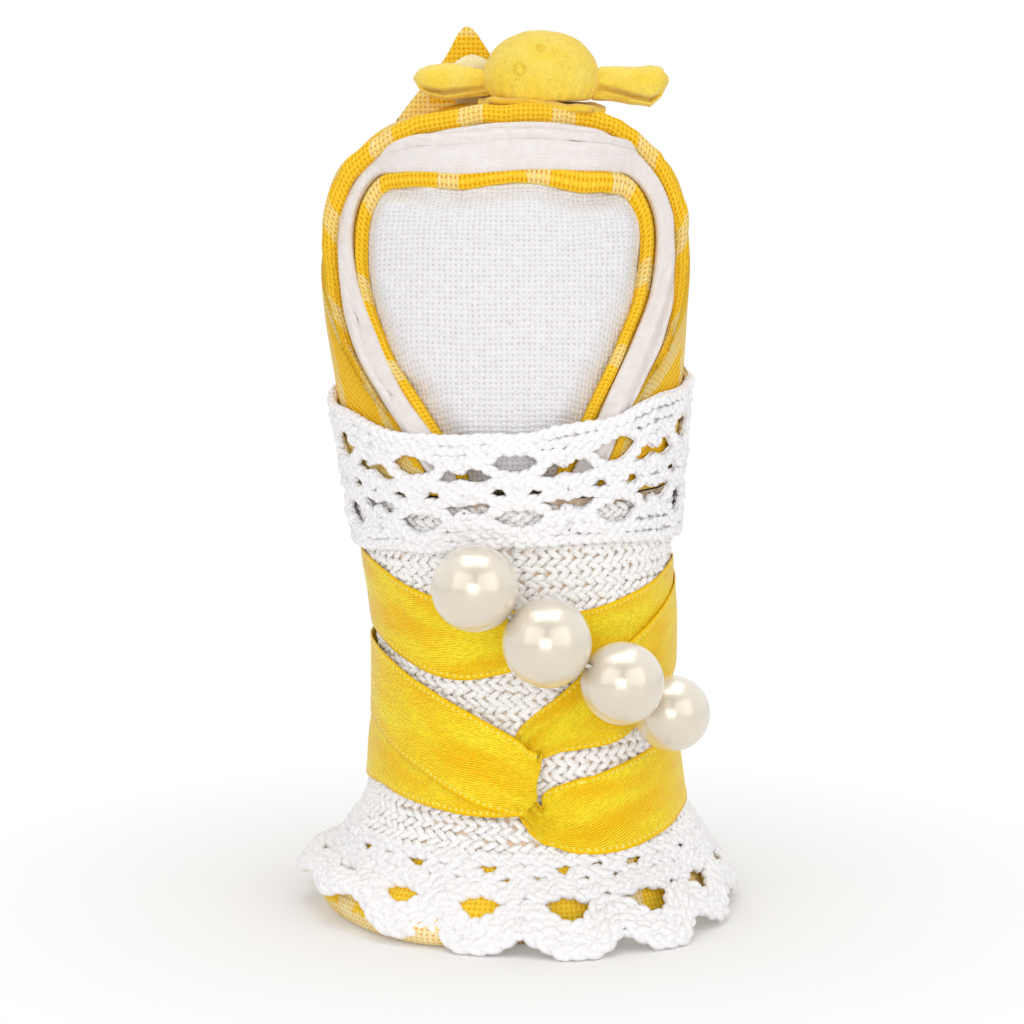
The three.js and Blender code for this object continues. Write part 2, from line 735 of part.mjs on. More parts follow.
function ribbon() {
  const rows = ribbonRows();
  const rings = rows.map((row, i) => {
    const before = rows[Math.max(0, i - 1)];
    const after = rows[Math.min(rows.length - 1, i + 1)];
    const faces = row.map((point, k) => {
      const forward = after[k].clone().sub(before[k]);
      const sideways = row[Math.min(row.length - 1, k + 1)].clone().sub(row[Math.max(0, k - 1)]);
      return forward.cross(sideways).normalize().multiplyScalar(ribbonThickness / 2);
    });
    const top = row.map((point, k) => point.clone().add(faces[k]));
    const under = row.map((point, k) => point.clone().sub(faces[k])).reverse();
    return [...top, ...under];
  });
  return ringSolid(rings, false);
}

// Least distance between two turns of the ribbon, less its thickness
function ribbonGap() {
  const rows = ribbonRows();
  let least = Infinity;
  rows.forEach((row, i) => rows.forEach((other, j) => {
    if (j - i < 10) return;
    row.forEach((point) => other.forEach((spot) => {
      least = Math.min(least, point.distanceTo(spot));
    }));
  }));
  return least - ribbonThickness;
}

// Pearls: each next bead is laid off from the one before along a falling line round the body

function pearlCentre(i, angle, height) {
  return onBody(angle, height, fit + pearlRises[i] + pearlDiameters[i] / 2);
}

function pearlPlaces() {
  const places = [pearlCentre(0, firstPearlAngle, firstPearlHeight)];
  let angle = firstPearlAngle;
  let height = firstPearlHeight;
  for (let i = 1; i < pearlDiameters.length; i += 1) {
    const wanted = (pearlDiameters[i - 1] + pearlDiameters[i]) / 2 + pearlGap;
    const fall = Math.tan(radians(pearlSlopes[i - 1]));
    const ahead = (run) => pearlCentre(i, angle + degrees(run / (ribbonRound + pearlDiameters[i] / 2)),
      height - run * fall);
    let [low, high] = [wanted / 4, wanted * 2];
    for (let k = 0; k < 40; k += 1) {
      const middle = (low + high) / 2;
      if (ahead(middle).distanceTo(places[i - 1]) < wanted) low = middle;
      else high = middle;
    }
    places.push(ahead(low));
    angle += degrees(low / (ribbonRound + pearlDiameters[i] / 2));
    height -= low * fall;
  }
  return places;
}

const pearlCentres = pearlPlaces();
const pearlAxes = pearlCentres.map((centre, i) => {
  const before = pearlCentres[Math.max(0, i - 1)];
  const after = pearlCentres[Math.min(pearlCentres.length - 1, i + 1)];
  return after.clone().sub(before).normalize();
});

function pearl(i) {
  const radius = pearlDiameters[i] / 2;
  const bore = boreDiameter / 2;
  const mouth = Math.asin(bore / radius);
  const rows = 10;
  const profile = steps(rows + 1).map((k) => {
    const turn = mouth + (Math.PI - 2 * mouth) * k / rows;
    return new THREE.Vector2(radius * Math.sin(turn), -radius * Math.cos(turn));
  });
  profile.push(profile[0].clone());
  const up = new THREE.Vector3(0, 1, 0);
  return closed(new THREE.LatheGeometry(profile, 18))
    .applyQuaternion(new THREE.Quaternion().setFromUnitVectors(up, pearlAxes[i]))
    .translate(...pearlCentres[i].toArray());
}

// The thread from just outside the mouth of an end bead down to its seat on the dress
function threadEnd(i, way) {
  const outside = pearlCentres[i].clone().addScaledVector(pearlAxes[i], way * (pearlDiameters[i] / 2 + fit));
  const beyond = outside.clone().addScaledVector(pearlAxes[i], way * threadStand);
  const angle = degrees(Math.atan2(beyond.x - along('lean', beyond.z), -beyond.y));
  const height = outside.z - threadSeatDrop;
  return [outside, onBody(angle, height, fit + threadStand), onBody(angle, height, fit)];
}

function pearlThread() {
  const path = threadEnd(0, -1).reverse();
  pearlCentres.forEach((centre, i) => {
    const half = pearlDiameters[i] / 2 - fit;
    path.push(centre.clone().addScaledVector(pearlAxes[i], -half), centre.clone(),
      centre.clone().addScaledVector(pearlAxes[i], half));
  });
  path.push(...threadEnd(pearlCentres.length - 1, 1));
  const curve = new THREE.CatmullRomCurve3(path, false, 'centripetal');
  return closed(new THREE.ExtrudeGeometry(roundSection(threadDiameter, 6),
    { steps: 48, extrudePath: curve, bevelEnabled: false }));
}

// Ornament: a backing strip on the hood, a padded dome and two puffed wings

function backing() {
  const columns = 8;
  const rows = 4;
  const grid = (grow) => steps(columns + 1).map((i) => steps(rows + 1).map((j) => {
    const x = ornamentX + backingHalfWidth * (2 * i / columns - 1);
    const y = ornamentY + backingHalfDepth * (2 * j / rows - 1);
    return new THREE.Vector3(x, y, crownAt(x, y, grow));
  }));
  return sheetSolid(grid(fit + backingWall), grid(fit), false);
}

// Height of the hood's crown over a point
function crownAt(x, y, grow) {
  const width = templeHalfWidth + grow;
  const depth = templeHalfDepth + grow;
  const spread = Math.abs((x - headLean) / width) ** headRoundness + Math.abs(y / depth) ** headRoundness;
  const share = Math.min(1, spread) ** (crownRoundness / headRoundness);
  return templeHeight + (crownHeight - templeHeight + grow) * (1 - share) ** (1 / crownRoundness);
}

const domeFoot = crownAt(headLean, 0, fit + backingWall) + fit;

function domeRing(share, height, shrink, count) {
  return steps(count).map((i) => new THREE.Vector3(
    ornamentX + (domeHalfWidth - shrink) * share * Math.sin(2 * Math.PI * i / count),
    ornamentY - (domeHalfDepth - shrink) * share * Math.cos(2 * Math.PI * i / count),
    domeFoot + height));
}

function domeArc(count, shrink, foot) {
  return steps(6).map((k) => {
    const turn = Math.PI / 2 * k / 5;
    return domeRing(Math.sin(turn), foot + (domeHeight - shrink - foot) * Math.cos(turn), shrink, count);
  });
}

function domeCover() {
  const outer = domeArc(24, 0, 0);
  const inner = domeArc(24, domeWall, 0).reverse();
  return ringSolid([...outer, ...inner], false);
}

function domePad() {
  const rings = domeArc(20, domeWall + fit, 0);
  rings.push(domeRing(0, 0, 0, 20));
  return ringSolid(rings, false);
}

// Wing: narrow where it is sewn to the dome, puffed and rounded at its outer end
function wing(side) {
  const count = 12;
  const root = ornamentX + side * (domeHalfWidth + fit);
  const middle = domeFoot + wingRootHeight / 2;
  const rings = [0, 0, 0.2, 0.45, 0.7, 0.88, 0.97, 1].map((reach, k) => {
    const swell = k === 0 || k === 7 ? 0 : 1;
    const end = Math.sqrt(Math.max(0, 1 - Math.max(0, (reach - 0.7) / 0.3) ** 2));
    const high = swell * (wingRootHeight + (wingHeight - wingRootHeight) * smoothstep(0, 0.8, reach)) * end;
    const deep = swell * (wingRootHeight + (wingDepth - wingRootHeight) * smoothstep(0, 0.6, reach)) * end;
    return steps(count).map((i) => new THREE.Vector3(
      root + side * wingLength * reach, ornamentY + deep / 2 * Math.sin(2 * Math.PI * i / count),
      middle + 1.1 * reach + high / 2 * Math.cos(2 * Math.PI * i / count)));
  });
  return ringSolid(rings, false);
}

place('core_roll', closed(coreRoll()), creamCloth);
place('roll_tie_lower', tie(lowerTieHeight), threadWhite);
place('roll_tie_upper', tie(upperTieHeight), threadWhite);
place('neck_thread', tie(swaddleTop + neckTieGap + tiePitch * tieTurns / 2), threadRed);
place('head_padding', headPadding(), creamCloth);
place('face_cloth', faceCloth(), whiteLinen);
place('inner_kerchief', strip(faceEdge, bandEdge, kerchiefDepth, kerchiefWall,
  kerchiefRimWidth, kerchiefRimRise, 40), checkCloth);
place('forehead_band', strip(bandEdge, hoodEdge, bandDepth, bandWall,
  bandRimWidth, bandRimRise, 40), whiteLinen);
place('outer_kerchief', outerKerchief(), checkCloth);
place('swaddle_cloth', swaddle(), checkCloth);
place('lace_dress', dress(), lacePaint);
place('chest_lace_band', chestBand(), lacePaint);
place('satin_ribbon', ribbon(), satin);
place('pearl_thread', pearlThread(), threadWhite);
steps(pearlDiameters.length).forEach((i) => place(`pearl_${i + 1}`, pearl(i), pearlCoat));
place('ornament_backing', backing(), ornamentCloth);
place('ornament_dome_cover', domeCover(), ornamentCloth);
place('ornament_dome_pad', domePad(), creamCloth);
place('ornament_wing_left', wing(-1), ornamentCloth);
place('ornament_wing_right', wing(1), ornamentCloth);

console.log(`ribbon's least gap to itself ${ribbonGap().toFixed(2)} mm`);
console.log(`tie's least gap to itself ${(tiePitch - tieDiameter).toFixed(2)} mm`);

export default doll;
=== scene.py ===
"""Looks of a cloth amulet doll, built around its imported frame.

Sizes are in millimetres and angles in degrees from the front, positive to the right as seen from
there. Meshes are made in metres. Height 0 is what the doll stands on.
"""

import json
import math

import bmesh
import bpy
import numpy as np
from mathutils import Matrix, Vector


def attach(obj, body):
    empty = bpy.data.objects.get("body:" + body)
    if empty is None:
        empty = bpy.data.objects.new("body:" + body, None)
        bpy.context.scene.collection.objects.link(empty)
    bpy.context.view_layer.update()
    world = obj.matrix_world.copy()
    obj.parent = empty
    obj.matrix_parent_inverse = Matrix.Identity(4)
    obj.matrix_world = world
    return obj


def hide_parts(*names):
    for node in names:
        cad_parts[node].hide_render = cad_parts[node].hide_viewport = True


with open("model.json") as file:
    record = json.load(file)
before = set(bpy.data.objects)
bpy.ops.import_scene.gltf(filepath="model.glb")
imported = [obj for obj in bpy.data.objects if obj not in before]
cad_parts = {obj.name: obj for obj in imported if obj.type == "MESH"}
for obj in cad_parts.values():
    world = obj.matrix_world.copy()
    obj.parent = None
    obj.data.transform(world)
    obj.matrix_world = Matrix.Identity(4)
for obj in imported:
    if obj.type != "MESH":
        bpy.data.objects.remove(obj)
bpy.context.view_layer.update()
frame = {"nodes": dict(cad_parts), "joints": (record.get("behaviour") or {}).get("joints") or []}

MM = 0.001
# Millimetres of cloth in one unit of its texture coordinates
UV_MM = 100.0
BODY = "doll"

# Photograph's camera
CAMERA_SPOT = (-1.1, -420.0, 112.0)
CAMERA_AIM = (-1.1, 0.0, 48.5)
CAMERA_LENS = 120.6
SENSOR_WIDTH = 36.0

# Clearance left between neighbouring pieces
FIT = 0.3
# Distances under which a mesh's points are joined
WELD = 0.004
FINE_WELD = 0.002
# Least height of the yarn over the floor
FLOOR_CLEARANCE = 0.03
# Steps of a curve between two of its points
CURVE_STEPS = 24
# Distances from the neck's centre between which the head's surface lies, and halvings to find it
HEAD_REACH = (5.0, 80.0)
HALVINGS = 26

# Outer cloth surface: height, half width, half depth and lean to the side
OUTLINE = np.array([
    (0.5, 27.2, 29.4, 0.0),
    (4.0, 25.4, 26.6, 0.1),
    (9.0, 22.3, 22.4, 0.3),
    (14.5, 19.6, 19.2, 0.5),
    (31.0, 18.2, 17.5, 0.35),
    (44.0, 19.0, 18.1, -0.45),
    (53.0, 19.9, 18.7, -0.95),
    (81.0, 22.5, 19.8, -1.95),
])
HEM_HEIGHT = OUTLINE[0, 0]
WAIST_HALF_WIDTH = OUTLINE[4, 1]
CHEST_HEIGHT = OUTLINE[5, 0]
NECK_HEIGHT, NECK_LEAN = OUTLINE[6, [0, 3]]
TEMPLE_HEIGHT, TEMPLE_HALF_WIDTH, TEMPLE_HALF_DEPTH, HEAD_LEAN = OUTLINE[7]
CROWN_HEIGHT = 99.0
CROWN_ROUNDNESS = 2.3
BODY_ROUNDNESS = 2.0
HEAD_ROUNDNESS = 2.2
# How far below the temples the head's section takes over from the body's
HEAD_SECTION_DROP = 10.0
NECK = np.array([NECK_LEAN, 0.0, NECK_HEIGHT])

# Depths of the layers of the head under the hood's outer face, and how far a cloth goes under the next
BAND_DEPTH = 1.3
KERCHIEF_DEPTH = 2.2
FACE_DEPTH = 3.1
PADDING_DEPTH = 3.9
TUCK = 3.0

# Thicknesses of the cloths as they are drawn
LINEN_WALL = 0.3
STRIP_WALL = 0.25
HOOD_WALL = 0.35
SWADDLE_WALL = 0.3
SATIN_WALL = 0.15
BACKING_WALL = 0.7

# Woven cloths: spacing of the threads, and the check with its cream stripes
THREAD = 0.59
FINE_THREAD = 0.4
LAWN_THREAD = 0.3
CHECK_PERIOD = 11.3
CREAM_SHARE = 0.27
CHECK_STARTS = (0.341, 0.9)

RIBBON_WIDTH = 9.6


def smoothstep(low, high, value):
    """Even ease from 0 at the first value to 1 at the second."""
    t = np.clip((np.asarray(value, float) - low) / (high - low), 0, 1)
    return t * t * (3 - 2 * t)


def bell(value, middle, width):
    """Smooth hump, 1 at its middle and nearly 0 two widths away."""
    return np.exp(-((value - middle) / width) ** 2)


def stacked(*parts):
    """Points from arrays that hold one coordinate each."""
    return np.stack(np.broadcast_arrays(*parts), axis=-1)


def unit(vectors):
    return vectors / np.maximum(np.linalg.norm(vectors, axis=-1, keepdims=True), 1e-12)


def wrapped(angle):
    """The same angle between -180 and 180."""
    return (angle + 180) % 360 - 180


def along(column, height):
    """Smooth curve through the outline's heights, with no overshoot between them."""
    x, y = OUTLINE[:, 0], OUTLINE[:, column]
    slope = np.diff(y) / np.diff(x)
    before, after = slope[:-1], slope[1:]
    product = before * after
    total = np.where(product > 0, before + after, 1)
    tangent = np.concatenate([[slope[0]], np.where(product > 0, 2 * product / total, 0), [0]])
    h = np.clip(height, x[0], x[-1])
    i = np.clip(np.searchsorted(x, h, side="right") - 1, 0, len(slope) - 1)
    span = x[i + 1] - x[i]
    t = (h - x[i]) / span
    return ((1 + 2 * t) * (1 - t) ** 2 * y[i] + t * (1 - t) ** 2 * span * tangent[i]
            + t * t * (3 - 2 * t) * y[i + 1] + t * t * (t - 1) * span * tangent[i + 1])


def section(height, grow):
    """Half width, half depth, centre and roundness of the cloth surface, grown by a distance."""
    height, grow = np.broadcast_arrays(np.asarray(height, float), np.asarray(grow, float))
    rise = np.clip((height - TEMPLE_HEIGHT) / (CROWN_HEIGHT - TEMPLE_HEIGHT + grow), 0, 1)
    share = (1 - rise ** CROWN_ROUNDNESS) ** (1 / CROWN_ROUNDNESS)
    blend = smoothstep(CHEST_HEIGHT, TEMPLE_HEIGHT - HEAD_SECTION_DROP, height)
    power = BODY_ROUNDNESS + (HEAD_ROUNDNESS - BODY_ROUNDNESS) * blend
    return (along(1, height) + grow) * share, (along(2, height) + grow) * share, along(3, height), power


def on_body(angle, height, grow=0.0):
    """Points on the cloth surface at an angle, a height and a distance outwards."""
    width, depth, lean, power = section(height, grow)
    side, front = np.sin(np.radians(angle)), np.cos(np.radians(angle))
    reach = (np.abs(side / width) ** power + np.abs(front / depth) ** power) ** (-1 / power)
    return stacked(lean + reach * side, -reach * front, np.asarray(height, float))


def body_normal(angle, height):
    across = on_body(angle + 0.5, height) - on_body(angle - 0.5, height)
    height = np.maximum(height, HEM_HEIGHT + 0.3)
    return unit(np.cross(across, on_body(angle, height + 0.2) - on_body(angle, height - 0.2)))


def heading(angle, elevation):
    """Direction from the neck's centre, by its angle from the front and its elevation."""
    turn, rise = np.radians(angle), np.radians(elevation)
    return stacked(np.cos(rise) * np.sin(turn), -np.cos(rise) * np.cos(turn), np.sin(rise))


def on_head(direction, grow=0.0):
    """Points on the head's cloth surface in directions from the neck's centre."""
    shape = direction.shape[:-1]
    grow = np.broadcast_to(np.asarray(grow, float), shape)
    low, high = (np.full(shape, reach) for reach in HEAD_REACH)
    for _ in range(HALVINGS):
        middle = (low + high) / 2
        x, y, z = np.moveaxis(NECK + direction * middle[..., None], -1, 0)
        width, depth, lean, power = section(z, grow)
        inside = (np.abs((x - lean) / np.maximum(width, 1e-6)) ** power
                  + np.abs(y / np.maximum(depth, 1e-6)) ** power <= 1)
        inside &= z < CROWN_HEIGHT + grow
        low, high = np.where(inside, middle, low), np.where(inside, high, middle)
    return NECK + direction * low[..., None]


def smooth_line(points, count):
    """Evenly spaced points along a centripetal curve through the given ones."""
    p = np.asarray(points, float)
    p = np.vstack([2 * p[0] - p[1], p, 2 * p[-1] - p[-2]])
    fine = []
    for k in range(len(p) - 3):
        row = list(p[k:k + 4])
        steps = np.linalg.norm(np.diff(p[k:k + 4], axis=0), axis=1) ** 0.5
        knots = np.cumsum([0.0, *np.maximum(steps, 1e-6)])
        t = np.linspace(knots[1], knots[2], CURVE_STEPS, endpoint=False)[:, None]
        for gap, first in ((1, 0), (2, 0), (1, 1)):
            row = [((knots[i + gap] - t) * a + (t - knots[i]) * b) / (knots[i + gap] - knots[i])
                   for i, (a, b) in enumerate(zip(row, row[1:]), first)]
        fine.append(row[0])
    return evenly(np.vstack(fine + [p[-2:-1]]), count)


def evenly(line, count):
    length = run_length(line)
    at = np.linspace(0, length[-1], count)
    return np.stack([np.interp(at, length, line[:, k]) for k in range(line.shape[1])], axis=1)


def run_length(line):
    """Distance along a line at each of its points."""
    return np.concatenate([[0], np.cumsum(np.linalg.norm(np.diff(line[:, :3], axis=0), axis=1))])


def turn_between(start, end):
    return np.arccos(np.clip((start * end).sum(-1), -1, 1))


def between(start, end, share):
    """Directions part of the way round from one to another."""
    angle = turn_between(start, end)[..., None]
    share = np.asarray(share)[..., None]
    return unit((np.sin((1 - share) * angle) * start + np.sin(share * angle) * end) / np.sin(angle))


def ripple(u, v, size, seed):
    """Smooth random relief from -1 to 1 over a plane, with bumps of about the given size."""
    cells = np.random.default_rng(seed).uniform(-1, 1, (64, 64))
    x, y = np.asarray(u) / size, np.asarray(v) / size
    i, j = np.floor(x).astype(int), np.floor(y).astype(int)
    fx, fy = smoothstep(0, 1, x - i), smoothstep(0, 1, y - j)
    low = cells[i % 64, j % 64] * (1 - fx) + cells[(i + 1) % 64, j % 64] * fx
    high = cells[i % 64, (j + 1) % 64] * (1 - fx) + cells[(i + 1) % 64, (j + 1) % 64] * fx
    return low * (1 - fy) + high * fy


# Meshes


class Shape:
    """Points, four-cornered faces and their corners' places on the cloth, gathered from several parts."""

    def __init__(self):
        self.points = []
        self.faces = []
        self.uv = []
        self.count = 0

    def grid(self, points, uv, around=False):
        """Adds a grid of points [row, column, 3]; around joins the last column to the first."""
        rows, columns = points.shape[:2]
        if around and uv.shape[1] == columns:
            uv = np.concatenate([uv, uv[:, :1]], axis=1)
        i, j = np.meshgrid(np.arange(rows - 1), np.arange(columns if around else columns - 1), indexing="ij")
        low, next_low = i * columns + j, i * columns + (j + 1) % columns
        faces = stacked(low, next_low, next_low + columns, low + columns)
        corners = np.stack([uv[i, j], uv[i, j + 1], uv[i + 1, j + 1], uv[i + 1, j]], axis=-2)
        self.points.append(points.reshape(-1, 3))
        self.faces.append(faces.reshape(-1, 4) + self.count)
        self.uv.append(corners.reshape(-1, 4, 2))
        self.count += rows * columns

    def strand(self, path, normal, radius, sides=6):
        """Adds a closed round strand along a path."""
        tangent = unit(np.roll(path, -1, axis=0) - np.roll(path, 1, axis=0))
        out = unit(normal - (normal * tangent).sum(-1, keepdims=True) * tangent)
        side = np.cross(tangent, out)
        turn = 2 * np.pi * np.arange(sides) / sides
        ring = np.cos(turn)[None, :, None] * out[:, None] + np.sin(turn)[None, :, None] * side[:, None]
        points = path[:, None] + ring * radius[:, None, None]
        length = run_length(np.vstack([path, path[:1]]))
        self.grid(np.concatenate([points, points[:1]]),
                  stacked(length[:, None], np.arange(sides + 1) / sides), around=True)

    def rest_on_floor(self):
        """Flattens what would reach below the doll's foot."""
        for points in self.points:
            points[:, 2] = np.maximum(points[:, 2], FLOOR_CLEARANCE)

    def build(self, name, finish, merge=0.0):
        """Makes the piece, in metres."""
        points, faces, uv = np.vstack(self.points) * MM, np.vstack(self.faces), np.vstack(self.uv) / UV_MM
        mesh = bpy.data.meshes.new(name)
        mesh.vertices.add(len(points))
        mesh.vertices.foreach_set("co", points.astype(np.float32).ravel())
        mesh.loops.add(faces.size)
        mesh.loops.foreach_set("vertex_index", faces.astype(np.int32).ravel())
        mesh.polygons.add(len(faces))
        mesh.polygons.foreach_set("loop_start", np.arange(0, faces.size, 4, dtype=np.int32))
        layer = mesh.uv_layers.new(name="UVMap")
        layer.data.foreach_set("uv", uv.astype(np.float32).ravel())
        mesh.update(calc_edges=True)
        mesh.validate()
        if merge:
            work = bmesh.new()
            work.from_mesh(mesh)
            bmesh.ops.remove_doubles(work, verts=work.verts, dist=merge * MM)
            bmesh.ops.dissolve_degenerate(work, dist=1e-8, edges=work.edges)
            bmesh.ops.recalc_face_normals(work, faces=work.faces)
            work.to_mesh(mesh)
            work.free()
        mesh.polygons.foreach_set("use_smooth", [True] * len(mesh.polygons))
        mesh.materials.append(finish)
        piece = bpy.data.objects.new(name, mesh)
        bpy.context.scene.collection.objects.link(piece)
        return piece


def thicken(piece, wall):
    """Gives a sheet its thickness, inwards from the face that shows."""
    modifier = piece.modifiers.new("wall", "SOLIDIFY")
    modifier.thickness = wall * MM
    modifier.offset = -1
    bpy.ops.object.select_all(action="DESELECT")
    piece.select_set(True)
    bpy.context.view_layer.objects.active = piece
    bpy.ops.object.modifier_apply(modifier=modifier.name)


def cloth(name, points, uv, finish, wall=0.0, merge=0.0, around=False):
    """Piece made of a single grid; a sheet has a wall, and a padded piece closes on itself."""
    shape = Shape()
    shape.grid(points, uv, around)
    piece = shape.build(name, finish, merge)
    if wall:
        thicken(piece, wall)
    return piece


def wear(piece, slot, *nodes, body=BODY):
    """Lets a finished piece ride and hides the nodes that it stands for; the slot is not used."""
    if nodes:
        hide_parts(*nodes)
    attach(piece, body)


# Materials


def linear(code):
    """sRGB hex to the linear colour that a shader takes."""
    channels = [int(code[i:i + 2], 16) / 255 for i in (1, 3, 5)]
    return [c / 12.92 if c <= 0.04045 else ((c + 0.055) / 1.055) ** 2.4 for c in channels] + [1.0]


def join(tree, node, inputs):
    """Sets a node's inputs; each takes a value, an output or another node's first output in use."""
    for key, value in inputs.items():
        if isinstance(value, bpy.types.Node):
            value = next(output for output in value.outputs if output.enabled)
        if isinstance(value, bpy.types.NodeSocket):
            tree.links.new(value, node.inputs[key])
        else:
            node.inputs[key].default_value = value


def add(tree, kind, *values, **settings):
    """Adds a node with its settings, and joins the values to its inputs in use, in their order."""
    node = tree.nodes.new("ShaderNode" + kind)
    for name, value in settings.items():
        setattr(node, name, value)
    used = [number for number, socket in enumerate(node.inputs) if socket.enabled]
    join(tree, node, dict(zip(used, values)))
    return node


def new_material(name, inputs):
    material = bpy.data.materials.new(name)
    material.use_nodes = True
    tree = material.node_tree
    shader = tree.nodes["Principled BSDF"]
    join(tree, shader, inputs)
    return material, tree, shader


def paint(tree, code, layers):
    """Colour with others laid over it, each by its share."""
    colour = linear(code)
    for share, other in layers:
        colour = add(tree, "Mix", share, colour, linear(other), data_type="RGBA")
    return colour


def give_surface(tree, shader, colour, relief, height, strength):
    """Joins a colour to a shader, and a relief as bumps of a height in millimetres."""
    bump = add(tree, "Bump")
    join(tree, bump, {"Height": relief, "Distance": height * MM, "Strength": strength})
    join(tree, shader, {"Base Color": colour, "Normal": bump})


def cloth_place(tree):
    """Place on the cloth in millimetres, along and across."""
    uv = add(tree, "TexCoord").outputs["UV"]
    spot = add(tree, "VectorMath", uv, (UV_MM, UV_MM, UV_MM), operation="MULTIPLY")
    split = add(tree, "SeparateXYZ", spot)
    return spot, split.outputs[0], split.outputs[1]


def patches(tree, place, scale, detail, span, result):
    """Value that varies in patches: noise whose span is stretched to the result's range."""
    noise = add(tree, "TexNoise", place, scale, detail)
    return add(tree, "MapRange", noise, *span, *result)


def sine(tree, value, period):
    turns = add(tree, "Math", value, 2 * math.pi / period, operation="MULTIPLY")
    return add(tree, "Math", turns, operation="SINE")


def weave(tree, spot, u, v, thread, wander):
    """Plain weave: its height from 0 to 1, and 1 where the threads that run along v are on top."""
    drift = add(tree, "TexNoise", spot, 0.7, 1.0)
    sway = add(tree, "Math", drift, wander, operation="MULTIPLY")
    waves = []
    for value in (u, v):
        turns = add(tree, "Math", value, math.pi / thread, operation="MULTIPLY")
        moved = add(tree, "Math", turns, sway, operation="ADD")
        waves.append(add(tree, "Math", moved, operation="COSINE"))
    parity = add(tree, "Math", waves[0], waves[1], operation="MULTIPLY")
    threads = []
    for wave, share in zip(waves, (0.42, -0.42)):
        width = add(tree, "Math", wave, operation="ABSOLUTE")
        over = add(tree, "Math", parity, share, 0.58, operation="MULTIPLY_ADD")
        threads.append(add(tree, "Math", width, over, operation="MULTIPLY"))
    height = add(tree, "Math", threads[0], threads[1], operation="MAXIMUM")
    return height, add(tree, "Math", threads[0], threads[1], operation="GREATER_THAN")


def cream_stripes(tree, value, stray, start):
    """1 on the cream stripes that lie across a value."""
    place = add(tree, "Math", value, stray, operation="ADD")
    turns = add(tree, "Math", place, 1 / CHECK_PERIOD, start, operation="MULTIPLY_ADD")
    part = add(tree, "Math", turns, operation="FRACT")
    middle = add(tree, "Math", part, 0.5, operation="SUBTRACT")
    off = add(tree, "Math", middle, operation="ABSOLUTE")
    return add(tree, "Math", off, CREAM_SHARE / 2, operation="LESS_THAN")


def gingham(name, yellow_code, cream_code, gap_shade_code):
    """Yarn-dyed cotton gingham: a plain weave whose yellow and cream threads cross in a check."""
    material, tree, shader = new_material(name, {"Roughness": 0.85, "Specular IOR Level": 0.3})
    spot, u, v = cloth_place(tree)
    height, on_top = weave(tree, spot, u, v, THREAD, 0.5)
    uneven = add(tree, "TexNoise", spot, 0.9, 3.0)
    stray = add(tree, "Math", uneven, 1.6, -0.8, operation="MULTIPLY_ADD")
    lengthwise, crosswise = (cream_stripes(tree, value, stray, start)
                             for value, start in zip((u, v), CHECK_STARTS))
    either = add(tree, "Math", lengthwise, crosswise, operation="MAXIMUM")
    own = add(tree, "Mix", on_top, crosswise, lengthwise, data_type="RGBA")
    cream = add(tree, "Mix", 0.3, either, own)
    # Faded patches, the crests of the threads painted paler as painted highlight, and the gaps between them
    # painted darker as painted shade
    faded = patches(tree, spot, 0.35, 3.0, (0.35, 0.7), (0.0, 0.5))
    painted_crest_highlight = add(tree, "MapRange", height, 0.5, 0.95, 0.0, 0.35)
    gap = add(tree, "MapRange", height, 0.15, 0.52, 1.0, 0.0)
    layers = (cream, cream_code), (faded, "#FFD230"), (painted_crest_highlight, "#FFE468"), (gap, gap_shade_code)
    colour = paint(tree, yellow_code, layers)
    give_surface(tree, shader, colour, height, 0.2, 0.85)
    return material


def plain_weave(name, code, hole_shade_code, thread=THREAD, relief=0.18):
    """Undyed plain-woven cotton or linen: even threads with small square holes between them."""
    material, tree, shader = new_material(
        name, {"Roughness": 0.88, "Sheen Weight": 0.15, "Sheen Roughness": 0.5})
    spot, u, v = cloth_place(tree)
    height, _ = weave(tree, spot, u, v, thread, 1.6)
    slub = add(tree, "TexNoise", spot, 0.9, 3.0)
    tint = add(tree, "MapRange", slub, 0.4, 0.75, 0.0, 0.25)
    # The holes between the threads are painted darker as painted shade, less where slubs close them
    gap = add(tree, "MapRange", height, 0.14, 0.45, 1.0, 0.0)
    closed = add(tree, "MapRange", slub, 0.35, 0.65, 1.0, 0.35)
    hole_shade = add(tree, "Math", gap, closed, operation="MULTIPLY")
    colour = paint(tree, code, ((tint, "#FFFFFF"), (hole_shade, hole_shade_code)))
    give_surface(tree, shader, colour, height, relief, 0.8)
    return material


def yarn(name, code):
    """Mercerised cotton yarn: plies twisted round each other, with a faint gloss."""
    ply = 0.5
    material, tree, shader = new_material(
        name, {"Roughness": 0.62, "Sheen Weight": 0.3, "Sheen Roughness": 0.4})
    spot, u, v = cloth_place(tree)
    around = add(tree, "Math", v, 2.0, operation="MULTIPLY")
    lay = add(tree, "Math", u, 1 / ply, around, operation="MULTIPLY_ADD")
    tint = patches(tree, spot, 1.2, 2.0, (0.35, 0.7), (0.0, 0.4))
    colour = paint(tree, code, ((tint, "#FFFFFF"),))
    give_surface(tree, shader, colour, sine(tree, lay, 1), 0.05, 0.5)
    return material


